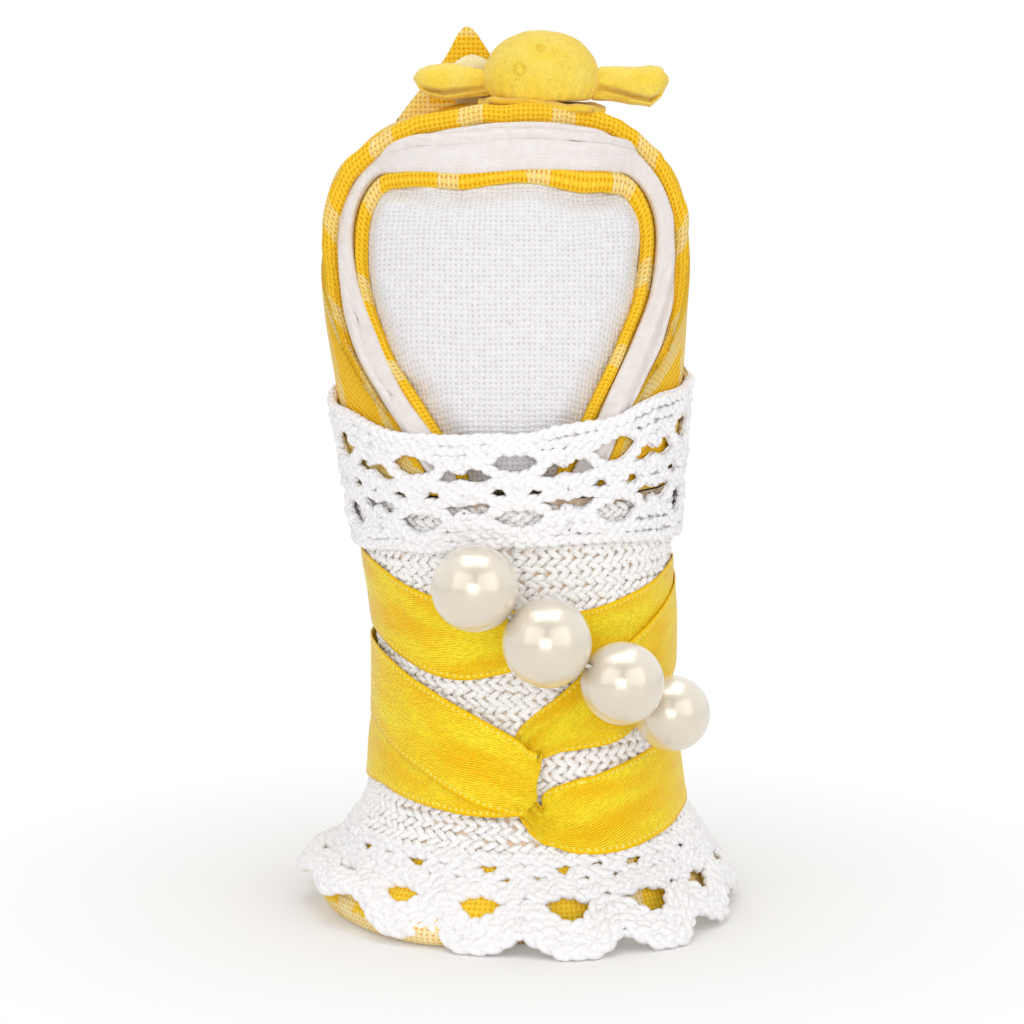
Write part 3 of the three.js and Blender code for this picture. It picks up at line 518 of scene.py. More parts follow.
def satin(name):
    """Polyester satin ribbon: long floats in fine slanting lines, and woven edges with a stitched line."""
    # Real floats are too fine to show, so these lines are drawn about three times as coarse
    line_period = 0.29
    stitch_spacing = 0.75
    stitched_at = RIBBON_WIDTH / 2 - 0.5
    material, tree, shader = new_material(
        name, {"Roughness": 0.34, "Specular IOR Level": 0.38, "Specular Tint": linear("#FFD84A")})
    spot, u, v = cloth_place(tree)
    slant = add(tree, "Math", v, 0.3, u, operation="MULTIPLY_ADD")
    sway = add(tree, "TexNoise", spot, 0.11, 1.0)
    moved = add(tree, "Math", sway, slant, operation="ADD")
    drawn = add(tree, "VectorMath", spot, (2.4, 0.7, 1.0), operation="MULTIPLY")
    strength = patches(tree, drawn, 1.7, 2.0, (0.38, 0.62), (0.1, 1.6))
    lines = add(tree, "Math", sine(tree, moved, line_period), strength, operation="MULTIPLY")
    # Broad patches painted lighter: painted sheen, which with the floats' lines sets how pale the colour is
    painted_sheen = patches(tree, drawn, 0.12, 2.0, (0.35, 0.65), (-0.5, 0.55))
    level = add(tree, "Math", lines, painted_sheen, operation="ADD")
    light = add(tree, "MapRange", level, -1.0, 1.1, 0.0, 1.0)
    off = add(tree, "Math", u, operation="ABSOLUTE")
    edge = add(tree, "MapRange", off, stitched_at - 0.1, stitched_at + 0.05, 0.0, 1.0)
    from_line = add(tree, "Math", off, stitched_at, operation="SUBTRACT")
    near_line = add(tree, "Math", from_line, operation="ABSOLUTE")
    dash = add(tree, "MapRange", sine(tree, v, stitch_spacing), -0.3, 0.5, 0.0, 1.0)
    thread = add(tree, "MapRange", near_line, 0.14, 0.28, 1.0, 0.0)
    stitch = add(tree, "Math", dash, thread, operation="MULTIPLY")
    quiet = add(tree, "MapRange", edge, 0.0, 1.0, 1.0, 0.25)
    ribs = add(tree, "Math", lines, quiet, operation="MULTIPLY")
    relief = add(tree, "Math", stitch, 2.5, ribs, operation="MULTIPLY_ADD")
    colour = paint(tree, "#F4AE00", ((light, "#FFF43C"), (edge, "#FBCB12"), (stitch, "#FFE95E")))
    give_surface(tree, shader, colour, relief, 0.028, 0.9)
    return material


def pearl_lacquer(name):
    """Imitation pearl: a bead dipped in essence of mother-of-pearl and clear lacquer."""
    material, tree, shader = new_material(
        name, {"Metallic": 0.5, "Roughness": 0.28, "IOR": 1.5, "Coat Weight": 0.8, "Coat Roughness": 0.06})
    # Paler towards the outline, where the bead turns away from the camera: painted reflection
    rim = add(tree, "LayerWeight", 0.4).outputs["Facing"]
    join(tree, shader, {"Base Color": paint(tree, "#E2D8C5", ((rim, "#F3ECDE"),))})
    return material


def crepe_jersey(name, code, light_code):
    """Padded ornament's cloth: fine crepe jersey with a soft bloom."""
    material, tree, shader = new_material(
        name, {"Roughness": 0.8, "Sheen Weight": 0.3, "Sheen Roughness": 0.5})
    spot, _, _ = cloth_place(tree)
    crepe = add(tree, "TexNoise", spot, 3.4, 2.0)
    join(tree, crepe, {"Distortion": 1.2})
    bloom = patches(tree, spot, 0.3, 4.0, (0.3, 0.75), (0.0, 1.0))
    # The low parts of the crepe relief painted darker: painted shade in its hollows
    hollow_shade = add(tree, "MapRange", crepe, 0.35, 0.6, 0.4, 0.0)
    colour = paint(tree, code, ((bloom, light_code), (hollow_shade, "#E6B616")))
    give_surface(tree, shader, colour, crepe, 0.2, 0.9)
    return material


CHECK = gingham("cotton_gingham", "#FFC90C", "#F9E8AC", "#E29A00")
# Lighter copy of the gingham for the swaddle, which lies in the shade of the lace: painted light
CHECK_PAINTED_LIGHTER = gingham("cotton_gingham_painted_lighter", "#FFD630", "#FFF6D2", "#F2AE0C")
LINEN = plain_weave("bleached_linen", "#F0EEF0", "#D2CAC5", relief=0.26)
BAND_COTTON = plain_weave("white_cotton_lawn", "#E6DFDB", "#D9CFC8", thread=LAWN_THREAD, relief=0.05)
CREAM_COTTON = plain_weave("cream_cotton", "#EFE3B8", "#B59A55")
REVERSE_COTTON = plain_weave("reverse_of_gingham", "#EFE2AE", "#DCC98A", thread=FINE_THREAD, relief=0.06)
LACE_YARN = yarn("mercerised_cotton_yarn", "#FAF8F9")
DRESS_YARN = yarn("cream_white_cotton_yarn", "#FFFDFB")
SHADE_YARN = yarn("cotton_yarn_in_shade", "#F0CDA4")
SATIN = satin("polyester_satin_ribbon")
PEARL = pearl_lacquer("pearl_lacquer")
ORNAMENT = crepe_jersey("crepe_jersey", "#FAD838", "#FCE668")
# Darker copy of the ornament's jersey for the strip that lies under the dome: painted shade
JERSEY_PAINTED_DARKER = crepe_jersey("crepe_jersey_painted_darker", "#F4C426", "#F8D440")
SEWING_THREAD = yarn("white_sewing_thread", "#F0EDE4")
RED_THREAD = yarn("red_sewing_thread", "#B03A32")


# Camera, light and floor


def put(name, data, spot, aim):
    """Adds a camera or a lamp at a spot in metres, turned to its aim."""
    item = bpy.data.objects.new(name, data)
    item.location = spot
    item.rotation_euler = (Vector(aim) - Vector(spot)).to_track_quat("-Z", "Y").to_euler()
    bpy.context.scene.collection.objects.link(item)
    return item


def set_camera():
    data = bpy.data.cameras.new("photo_camera")
    data.lens = CAMERA_LENS
    data.sensor_width = SENSOR_WIDTH
    data.clip_start = 0.01
    data.clip_end = 20
    spot, aim = Vector(CAMERA_SPOT) * MM, Vector(CAMERA_AIM) * MM
    bpy.context.scene.camera = put("photo_camera", data, spot, aim)


# Lamps: place and size in metres, and power in watts
SOFTBOXES = {
    "left_softbox": ((-0.56, -0.74, 0.5), (0.95, 0.85), 2.35),
    "right_softbox": ((0.58, -0.72, 0.45), (0.95, 0.85), 2.65),
    "front_softbox": ((-0.05, -0.88, 0.2), (0.4, 0.35), 1.3),
    "top_softbox": ((0.0, 0.1, 0.9), (0.8, 0.8), 3.3),
}
LAMP_AIM = (0, 0, 0.05)
STUDIO_STRENGTH = 0.49


def studio_white(tree):
    """Pure white behind the doll, and a studio that is dim on the camera's side for all else."""
    path = add(tree, "LightPath")
    split = add(tree, "SeparateXYZ", add(tree, "TexCoord").outputs["Generated"])
    depth = split.outputs[1]
    dim = add(tree, "MapRange", depth, -1.0, -0.3, 0.55, 1.0, interpolation_type="SMOOTHSTEP")
    mirrored, through = path.outputs["Is Glossy Ray"], path.outputs["Is Transmission Ray"]
    gloss = add(tree, "Math", mirrored, through, operation="MAXIMUM")
    dark_room = add(tree, "MapRange", depth, -1.0, -0.1, 0.12, 1.0)
    dimmed = add(tree, "Math", dim, STUDIO_STRENGTH, operation="MULTIPLY")
    level = add(tree, "Mix", gloss, dimmed, dark_room)
    white = add(tree, "Background", (1, 1, 1, 1), 1.0)
    lit = add(tree, "Background", (0.99, 0.99, 1.0, 1.0), level)
    return add(tree, "MixShader", path.outputs["Is Camera Ray"], lit, white)


def set_light():
    world = bpy.data.worlds.new("pale_studio")
    world.use_nodes = True
    bpy.context.scene.world = world
    world.node_tree.nodes.clear()
    add(world.node_tree, "OutputWorld", studio_white(world.node_tree))
    for name, (spot, size, watts) in SOFTBOXES.items():
        data = bpy.data.lights.new(name, "AREA")
        data.shape = "RECTANGLE"
        data.size, data.size_y = size
        data.energy = watts
        put(name, data, spot, LAMP_AIM)


def set_floor():
    """Pale floor that keeps the doll's shadow and turns to the background's white away from it."""
    bpy.ops.mesh.primitive_plane_add(size=6.0, location=(0, 0, -0.02 * MM))
    floor = bpy.context.active_object
    floor.name = "floor"
    material, tree, shader = new_material("pale_floor", {"Roughness": 0.9, "Base Color": linear("#F6F5F4")})
    path = add(tree, "LightPath")
    glow = add(tree, "Emission", (1, 1, 1, 1), 1.0)
    place = add(tree, "NewGeometry").outputs["Position"]
    distance = add(tree, "VectorMath", place, operation="LENGTH")
    reach = add(tree, "MapRange", distance, 0.03, 0.078, 0.22, 1.0)
    seen = add(tree, "Math", path.outputs["Is Camera Ray"], reach, operation="MULTIPLY")
    joined = add(tree, "MixShader", seen, shader, glow)
    join(tree, tree.nodes["Material Output"], {"Surface": joined})
    floor.data.materials.append(material)


# Head

# Angle from the front and elevation along the edge of the face
FACE_EDGE = [(-16, 0), (-22.5, 13), (-29, 22), (-37, 31), (-48, 40), (-57, 50), (-58, 57), (-55, 62.2),
             (-46, 63.9), (-22, 65.8), (3, 67.8), (28, 65.7), (42, 64.6), (50, 63.5), (54, 59.5), (50.3, 51),
             (43, 44.5), (34, 35), (26, 23), (20, 12), (14.5, 0)]
# The same for the inner edge of the forehead band
BAND_EDGE = [(-20, 0), (-26, 13), (-31.5, 21), (-42, 31), (-51, 41), (-60, 50), (-63, 57), (-60, 63),
             (-48, 64.7), (-22, 66.7), (3, 68.4), (28, 67.6), (44, 66.6), (54, 65.5), (60, 60), (56.3, 50.5),
             (47.5, 43), (38, 33), (31, 22), (25, 11), (19.5, 0)]
# And for the inner edge of the hood's rolled rim
HOOD_EDGE = [(-27, 0), (-36, 13), (-41, 20), (-50, 29), (-59, 37), (-65, 46), (-67, 55), (-64, 62),
             (-56, 68), (-40, 73), (-9, 77), (12, 77.8), (33, 77), (54, 74), (63, 68), (66, 60),
             (65.5, 50), (60, 42), (48.8, 32), (41.5, 23), (36, 12), (30, 0)]

# Folded and rolled edges: distance in from the line and height over the cloth below
KERCHIEF_RIM = [(1.1, -0.35), (0.45, -0.3), (0.1, -0.1), (0.0, 0.2), (0.1, 0.5), (0.4, 0.72),
                (0.8, 0.78), (1.2, 0.66), (1.5, 0.35), (1.7, 0.1)]
BAND_RIM = [(0.9, -0.3), (0.3, -0.25), (0.05, 0.0), (0.0, 0.2), (0.1, 0.4), (0.4, 0.52),
            (0.9, 0.5), (1.4, 0.45)]
HOOD_RIM = [(1.9, -0.75), (1.0, -0.85), (0.35, -0.6), (0.05, -0.15), (0.0, 0.35), (0.12, 0.8),
            (0.5, 1.15), (1.0, 1.3), (1.5, 1.18), (1.9, 0.8), (2.15, 0.25), (2.5, -0.05)]

# Chest band: angle from the front, upper edge and lower edge
CHEST_BAND = np.array([(-180, 65.5, 45), (-120, 64.6, 44.6), (-67, 62.5, 45.2), (-38, 60.4, 46),
                       (0, 60.8, 47.1), (30, 62.2, 47.3), (61, 65, 46.4), (110, 66.4, 45.6),
                       (180, 65.5, 45)], float)


def chest_band_edges(angle):
    """Heights of the chest band's upper and lower edge."""
    turned = wrapped(angle)
    i = np.clip(np.searchsorted(CHEST_BAND[:, 0], turned, side="right") - 1, 0, len(CHEST_BAND) - 2)
    share = smoothstep(0, 1, (turned - CHEST_BAND[i, 0]) / (CHEST_BAND[i + 1, 0] - CHEST_BAND[i, 0]))
    return [CHEST_BAND[i, side] + (CHEST_BAND[i + 1, side] - CHEST_BAND[i, side]) * share for side in (1, 2)]


class Edge:
    """A line round the face, as directions from the neck's centre, evenly spaced on the head."""

    def __init__(self, places, count):
        directions = smooth_line([heading(angle, elevation) for angle, elevation in places], count)
        self.direction = unit(directions)
        self.tangent = unit(np.gradient(directions, axis=0))
        spots = on_head(self.direction)
        self.reach = np.linalg.norm(spots - NECK, axis=-1)
        self.length = run_length(spots)

    def beside(self, distance):
        """The line moved off sideways, outwards where the distance is negative."""
        turn = (distance / self.reach)[:, None]
        moved = (self.direction * np.cos(turn) + np.cross(self.tangent, self.direction) * np.sin(turn)
                 + self.tangent * (self.tangent * self.direction).sum(-1, keepdims=True) * (1 - np.cos(turn)))
        moved[:, 2] = np.maximum(moved[:, 2], 0)
        moved[[0, -1], 2] = 0
        return unit(moved)

    def depth_of(self, direction):
        """How far directions lie inside the line, measured on the cloth."""
        flat = direction.reshape(-1, 3)
        near = (flat @ self.direction.T).argmax(axis=1)
        inward = np.cross(self.tangent[near], self.direction[near])
        side = ((flat - self.direction[near]) * inward).sum(-1)
        angle = turn_between(flat, self.direction[near])
        return np.where(side > 0, angle * self.reach[near], 0).reshape(direction.shape[:-1])


def face_cloth():
    """Blank linen face: a crowned sheet that reaches from its edge in to a seam."""
    edge = Edge(FACE_EDGE, 241)
    start = edge.beside(-TUCK)
    share = np.linspace(0, 1, len(start))
    end = heading(-2, 8 + 40 * (1 - np.abs(2 * share - 1)))
    rows = np.linspace(0, 1, 61) ** 1.15
    direction = between(start[:, None], end[:, None], rows[None] + 0 * share[:, None])
    inside = edge.depth_of(direction)
    crown = 0.5 + 1.5 * smoothstep(0.2, 4.0, inside)
    flat = on_head(direction, -FACE_DEPTH)
    u, v = flat[..., 0], flat[..., 2]
    gathers = smoothstep(6, 0, inside) * ripple(edge.length[:, None] + 0 * rows, 0 * inside, 2.6, 4)
    creases = 0.16 * ripple(u, v, 5.0, 3) + 0.3 * gathers
    points = on_head(direction, -FACE_DEPTH + crown + creases)
    piece = cloth("face_linen", points, stacked(u, v), LINEN, LINEN_WALL, FINE_WELD)
    wear(piece, "white_linen", "face_cloth")


def laid_off(edge, end, profile, rows, width=1.0):
    """Lays a cloth off from its rolled edge at a line to its far end.

    Gives directions, distance from the line, what is left to the end, height and run along the cloth.
    """
    start = edge.beside(0.0)
    whole = (turn_between(start, end) * edge.reach)[:, None]
    roll = np.array(profile)
    last = roll[-1, 0] * width
    spread = np.linspace(0, 1, rows)[1:]
    rolled = np.broadcast_to(roll[:, 0] * width, (len(whole), len(roll)))
    distance = np.concatenate([rolled, last + (whole - last) * spread], axis=1)
    height = np.broadcast_to(np.append(roll[:, 1], np.full(rows - 1, roll[-1, 1])), distance.shape)
    run = run_length(roll)
    v = np.where(np.arange(distance.shape[1]) < len(roll), np.append(run, spread),
                 distance + run[-1] - roll[-1, 0])
    return between(start[:, None], end[:, None], distance / whole), distance, whole - distance, height, v


def cloth_strip(name, node, slot, edges, depth, rim, finish, relief, rows=14, shift=0.0, width=None):
    """Strip that lies between two lines, with a folded edge of the given profile at the first."""
    first, second = (Edge(edge, 361) for edge in edges)
    wide = width(first.length)[:, None] if width else 1.0
    direction, distance, left, height, v = laid_off(first, second.beside(-TUCK), rim, rows, wide)
    u = np.broadcast_to(first.length[:, None] + shift, distance.shape)
    room = smoothstep(-0.6, 1.4, left - TUCK)
    points = on_head(direction, height - depth + relief(u, distance) * room)
    piece = cloth(name, points, stacked(u, v), finish, STRIP_WALL)
    wear(piece, slot, node)


def inner_kerchief():
    """Strip of check cloth that frames the face, widest over the forehead."""

    def width(run):
        return 0.8 + 0.6 * bell(run, 68, 12) + 0.15 * ripple(run, 0 * run, 5.0, 12)

    def relief(u, d):
        return 0.1 * ripple(u, d, 3.0, 11)

    cloth_strip("kerchief_inner_rim", "inner_kerchief", "check_cotton",
                (FACE_EDGE, BAND_EDGE), KERCHIEF_DEPTH, KERCHIEF_RIM, CHECK, relief, shift=5.4, width=width)


def forehead_band():
    """White band over the forehead, whose tucks run along it."""

    def relief(u, d):
        free = smoothstep(0.6, 1.6, d)
        swell = 0.55 * np.sin(np.pi * np.clip((d - 0.5) / 5.5, 0, 1))
        tuck = (d / 2.5 + 0.8 * ripple(u * 0.3, d * 0.2, 6.0, 21)) % 1
        folds = 0.85 * (1 - tuck) * smoothstep(0.0, 0.16, tuck)
        return swell + folds * free + 0.16 * ripple(u * 0.5, d, 1.6, 22) * free

    cloth_strip("forehead_band_cloth", "forehead_band", "white_linen",
                (BAND_EDGE, HOOD_EDGE), BAND_DEPTH, BAND_RIM, BAND_COTTON, relief, rows=80)


# Corner of the kerchief: its place behind the ornament, its sides, and where the check starts on it
TIP_Y = 4.0
TIP_LEFT = [(-15.4, 96.5), (-12.2, 100.6), (-9.5, 103.9), (-7.5, 107.4), (-6.9, 108.0)]
TIP_RIGHT = [(-1.2, 97.5), (-2.4, 102.0), (-4.4, 105.6), (-6.2, 107.9), (-6.9, 108.0)]
TIP_CHECK_SHIFT = np.array([3.1, 0.0])


def kerchief_tip(shape):
    """Corner of the kerchief that stands up behind the ornament, folded in two."""
    rows = 25
    left, right = smooth_line(TIP_LEFT, rows), smooth_line(TIP_RIGHT, rows)
    share = np.linspace(0, 1, 17)
    flat = left[:, None] + (right - left)[:, None] * share[None, :, None]
    puff = np.sin(np.pi * share)[None] ** 0.5 * np.linspace(1, 0.25, rows)[:, None]
    crease = 0.2 * ripple(flat[..., 0], flat[..., 1], 2.5, 35)
    for side in (-1, 1):
        y = TIP_Y + side * (0.45 + 0.5 * puff) * (puff > 0) + crease * puff
        points = stacked(flat[..., 0], y, flat[..., 1])
        shape.grid(points[:, ::-side], flat + TIP_CHECK_SHIFT)


def hood():
    """Check kerchief over the head, with a rolled rim round the face and its pleats drawn in at the back."""
    edge = Edge(HOOD_EDGE, 541)
    share = np.linspace(0, 1, len(edge.length))
    end = heading(180.0, 62 * (1 - np.abs(2 * share - 1)))
    direction, distance, left, height, v = laid_off(edge, end, HOOD_RIM, 71)
    x, y, z = np.moveaxis(on_head(direction), -1, 0)
    above = z - chest_band_edges(np.degrees(np.arctan2(x - NECK_LEAN, -y)))[0]
    height = np.where(height > 0, height * smoothstep(0.6, 4.5, above), height)
    u = np.broadcast_to(edge.length[:, None], distance.shape)
    pleats = 0.5 * smoothstep(16, 4, left) * smoothstep(0, 2, left) * np.sin(2 * np.pi * u / 6.5)
    seam = -0.45 * smoothstep(1.2, 0.0, left)
    folds = smoothstep(2.5, 6.0, distance) * (0.3 * ripple(u, distance * 0.5, 5.0, 31)
                                              + 0.25 * ripple(u * 0.6, distance, 9.0, 32))
    uneven = 0.16 * ripple(u, distance * 0.6, 2.6, 33) + 0.1 * ripple(u, distance, 1.2, 34)
    uneven = uneven * smoothstep(3.0, 2.0, distance)
    loose = 0.4 * bell(x, -18, 7) * bell(z, 88, 8)
    loose = loose * smoothstep(2.6, 5.0, distance) * smoothstep(20, 8, distance)
    shape = Shape()
    shape.grid(on_head(direction, height + pleats + seam + folds + uneven + loose), stacked(u, v))
    kerchief_tip(shape)
    piece = shape.build("hood_kerchief", CHECK, FINE_WELD)
    thicken(piece, HOOD_WALL)
    wear(piece, "check_cotton", "outer_kerchief")


REVERSE_MIDDLE = np.array([-6.0, 0.5, 101.4])
REVERSE_HALF_SIZE = (3.1, 1.2, 3.2)


def reverse_fold():
    """Pale reverse of the kerchief's corner, folded over behind the ornament."""
    half_width, half_depth, half_height = REVERSE_HALF_SIZE
    turn = np.linspace(0, 2 * np.pi, 49)[:-1]
    rise = np.linspace(-0.5 * np.pi, 0.5 * np.pi, 25)[:, None]
    x = half_width * np.cos(rise) * np.cos(turn)
    z = half_height * np.sin(rise) + 0.12 * ripple(x, 3 * rise, 1.6, 37)
    points = stacked(x, half_depth * np.cos(rise) * np.sin(turn), z) + REVERSE_MIDDLE
    piece = cloth("kerchief_reverse_fold", points, stacked(x, z), REVERSE_COTTON, merge=WELD, around=True)
    wear(piece, "check_cotton")


# Dress and chest band, in yarn


def hem_run():
    """Distance up the skirt from the hem, measured on the cloth, against height."""
    height = np.linspace(HEM_HEIGHT, 60, 600)
    radius = (along(1, height) + along(2, height)) / 2
    return height, run_length(stacked(height, radius))


RUN_HEIGHT, RUN_LENGTH = hem_run()


def height_at(run):
    return np.interp(run, RUN_LENGTH, RUN_HEIGHT)


# A chain's strands: how far they rise as they cross, how unevenly they are drawn, the points of
# one plait and those to the next change
CHAIN_LIFT = 0.26
CHAIN_UNEVEN = 0.12
PLAIT_POINTS = 13
CHANGE_POINTS = 4
# Points that a chain's line is first made even with
LINE_POINTS = 4000


def closed_line(*columns):
    """Columns of a line's points side by side, with the first point again at its end."""
    line = np.hstack(columns)
    return np.vstack([line, line[:1]])


def chain(shape, line, normal, seed, sway, radius, stitch):
    """Closed chain of crochet along a line: three strands that cross like a plait."""
    fine = evenly(closed_line(line, normal), LINE_POINTS)
    plaits = max(1, round(run_length(fine)[-1] / (3 * stitch)))
    count = PLAIT_POINTS * plaits
    even = evenly(fine, count + 1)[:-1]
    spot, out = even[:, :3], unit(even[:, 3:])
    side = np.cross(out, unit(np.roll(spot, -1, axis=0) - np.roll(spot, 1, axis=0)))
    rng = np.random.default_rng(seed)
    phase = 2 * np.pi * (plaits * np.arange(count) / count + rng.uniform())
    knots = np.arange(0, count + 9, CHANGE_POINTS)
    for strand in range(3):
        turn = phase + 2 * np.pi * strand / 3
        wobble = np.interp(np.arange(count), knots, rng.uniform(-1, 1, len(knots)))
        across = sway * np.sin(turn) * (1 + 0.3 * wobble)
        lift = CHAIN_LIFT * np.sin(2 * turn) + CHAIN_UNEVEN * wobble
        path = spot + side * across[:, None] + out * lift[:, None]
        shape.strand(path, out, radius * (1 + 0.14 * wobble))


def chain_back(shape, line, normal, half_width, sink):
    """Flat back of a chain, which closes the small gaps between its strands."""
    count = max(8, int(run_length(closed_line(line))[-1] / 0.8))
    even = evenly(closed_line(line, normal, half_width[:, None]), count)
    spot, out, half_width = even[:, :3], unit(even[:, 3:6]), even[:, 6]
    side = np.cross(out, unit(np.gradient(spot, axis=0))) * half_width[:, None]
    points = np.stack([spot + side * k - out * sink for k in (-1, 1)], axis=1)
    shape.grid(points, stacked(run_length(spot)[:, None], half_width[:, None] * (-1, 1)))


def open_up(across, up, holes, repeat):
    """Moves a row's points off holes that repeat along it, as stitches crowd round an opening."""
    move_across, move_up = 0 * across, 0 * up
    for x, y, half_width, half_height in holes:
        off = (across - x + repeat / 2) % repeat - repeat / 2
        qx, qy = off / half_width, (up - y) / half_height
        away = np.maximum(np.hypot(qx, qy), 1e-6)
        push = ((away ** 3 + 1) ** (1 / 3) - away) / away
        move_across = move_across + qx * push * half_width
        move_up = move_up + qy * push * half_height
    return across + move_across, up + move_up


# Scallops round the hem, and the rows of chain in them
SCALLOPS = 15
SCALLOP_PHASE = -11.8
SCALLOP_WIDTH = 10.9
SCALLOP_DIP = 2.7
SKIRT_ROWS = 8
SKIRT_PITCH = 1.5
SKIRT_START = 0.62
# Lowest height of the chains' middle
SKIRT_FOOT = 0.9
# Openings of a scallop: place across and up from the hem, half width and half height to the cords
SKIRT_HOLES = [(0.0, 5.6, 2.8, 2.15), (0.2, 9.9, 1.7, 1.1), (-3.2, 8.9, 1.0, 0.9), (3.0, 8.7, 1.0, 0.9),
               (5.4, 7.0, 1.1, 0.9), (5.4, 10.6, 1.1, 0.9), (1.0, 2.5, 0.7, 0.6), (5.4, 4.6, 0.8, 0.7)]
# Those that the lowest rows part round
LOW_HOLES = [SKIRT_HOLES[0], SKIRT_HOLES[-1]]
LOW_ROWS = 3


def on_hem(angle, run, out):
    """Point on the dress at a distance up from the hem and off the cloth, with its spread and lifted hem."""
    turned = wrapped(angle)
    low = smoothstep(9.0, 0.0, run)
    flare = low * (3.0 * bell(turned, 34, 24) + 1.6 * bell(turned, 8, 16) + 0.8 * bell(turned, -75, 30))
    left_lift = 4.0 * smoothstep(-22, -58, turned) * smoothstep(-150, -95, turned)
    lift = low * (left_lift + 1.6 * bell(turned, 80, 25))
    height = height_at(run)
    points = on_body(angle, height) + body_normal(angle, height) * np.asarray(out)[..., None]
    points = points + stacked(np.sin(np.radians(angle)), -np.cos(np.radians(angle)), 0) * flare[..., None]
    points[..., 2] = np.maximum(points[..., 2] + lift, SKIRT_FOOT)
    return points


def scallop_angle(across):
    return across / SCALLOP_WIDTH * 360 / SCALLOPS + SCALLOP_PHASE


def skirt_rows(shape):
    """Openwork of the skirt: rows of chain that part round the openings of each scallop."""
    across = np.linspace(0, SCALLOPS * SCALLOP_WIDTH, 3061)[:-1]
    wave = np.abs(np.cos(np.radians((scallop_angle(across) - SCALLOP_PHASE) * SCALLOPS / 2)))
    dip = SCALLOP_DIP * (1 - wave ** 1.4)
    for row in range(SKIRT_ROWS):
        share = row / (SKIRT_ROWS - 1)
        up = SKIRT_START + SKIRT_PITCH * row + dip * (1 - share) ** 1.6
        moved, up = open_up(across, up, LOW_HOLES if row < LOW_ROWS else SKIRT_HOLES, SCALLOP_WIDTH)
        up = np.maximum(up, 0.5) + 0.14 * ripple(across, up, 3.0, 50 + row)
        angle = scallop_angle(moved)
        line = on_hem(angle, up, -0.5 + 0.12 * ripple(across, up, 2.6, 150 + row))
        normal = body_normal(angle, height_at(up))
        chain(shape, line, normal, 60 + row, sway=0.56, radius=0.54 - 0.08 * share,
              stitch=2.05 - 0.35 * share)
        chain_back(shape, line, normal, np.full(len(line), 0.7), 0.3)


# Rows of stitches above the skirt
KNIT_TOP = 52.3
KNIT_START = 12.2
STITCH_WIDTH = 1.5
KNIT_PITCH = 0.9
KNIT_PARTS = 3
# The sheet behind the stitches: its depth in the dress, and millimetres of cloth to a degree
GROUND_DEPTH = 0.64
GROUND_RUN = 0.35
# A stitch's leg: points along it, the share that shows, its slant and its depth in the dress
STITCH_POINTS = 8
LEG_SHARE = 0.7
LEG_RISE = 0.31
LEG_DEPTH = 0.52
LEG_RADIUS = 0.375


def knit_row(shape, run, seed):
    """One row of small crochet stitches: slanting plump legs, and a short way back under the next."""
    middle = float(height_at(run))
    around = math.pi * float(along(1, middle) + along(2, middle))
    stitches = int(round(around / STITCH_WIDTH))
    part = np.arange(STITCH_POINTS * stitches) / STITCH_POINTS
    stitch, share = np.floor(part), part % 1
    out_share = np.clip(share / LEG_SHARE, 0, 1)
    back_share = np.clip((share - LEG_SHARE) / (1 - LEG_SHARE), 0, 1)
    rng = np.random.default_rng(seed)
    way = 1 if seed % 2 else -1
    climb = np.where(back_share > 0, np.cos(np.pi * back_share), -np.cos(np.pi * out_share))
    plump = np.sin(np.pi * out_share) * (back_share == 0) - 0.8 * np.sin(np.pi * back_share)
    own = rng.uniform(-1, 1, (3, stitches + 1))[:, stitch.astype(int)]
    bulge = np.sin(np.pi * share)
    across = (stitch + 0.92 * out_share + 0.08 * back_share) * around / stitches
    across = across + rng.uniform(0, 9) + 0.2 * own[0] * bulge
    up = run + way * LEG_RISE * climb * (1 + 0.4 * own[1]) + 0.22 * ripple(across, 2.3 * seed, 2.4, 71)
    angle = across * 360 / around
    path = on_hem(angle, up, -LEG_DEPTH + 0.17 * plump + 0.1 * own[2] * bulge)
    shape.strand(path, body_normal(angle, height_at(up)), LEG_RADIUS + 0.06 * plump + 0.04 * own[2] * bulge)


def dress():
    """Crochet dress: the openwork skirt, the rows of stitches above it and their shaded ground."""
    skirt = Shape()
    skirt_rows(skirt)
    skirt.rest_on_floor()
    pieces = [skirt.build("skirt_lace", LACE_YARN)]
    top = float(np.interp(KNIT_TOP, RUN_HEIGHT, RUN_LENGTH))
    rows = int((top - KNIT_START) / KNIT_PITCH)
    for part in range(KNIT_PARTS):
        knit = Shape()
        for row in range(part * rows // KNIT_PARTS, (part + 1) * rows // KNIT_PARTS):
            knit_row(knit, KNIT_START + row * KNIT_PITCH, 500 + row)
        pieces.append(knit.build(f"dress_stitches_{part + 1}", DRESS_YARN))
    angle = np.linspace(-180, 180, 181)
    run = np.linspace(KNIT_START - 1.0, top + 0.3, 60)[:, None]
    points = on_hem(angle[:-1] + 0 * run, run + 0 * angle[:-1], np.array(-GROUND_DEPTH))
    sheet = cloth("dress_ground", points, stacked(angle * GROUND_RUN, run), SHADE_YARN, around=True)
    for piece in pieces:
        wear(piece, "crochet_cotton")
    wear(sheet, "crochet_cotton", "lace_dress")


# Repeats of the chest band's openwork, and its rows
BAND_REPEATS = 10
BAND_REPEAT = 12.7
BAND_HEIGHT = 13.9
BAND_PHASE = -35.0
BAND_STAND = 0.78
BAND_ROWS = (0.0, 1.15, 2.35, 3.55, 4.75, 6.3)
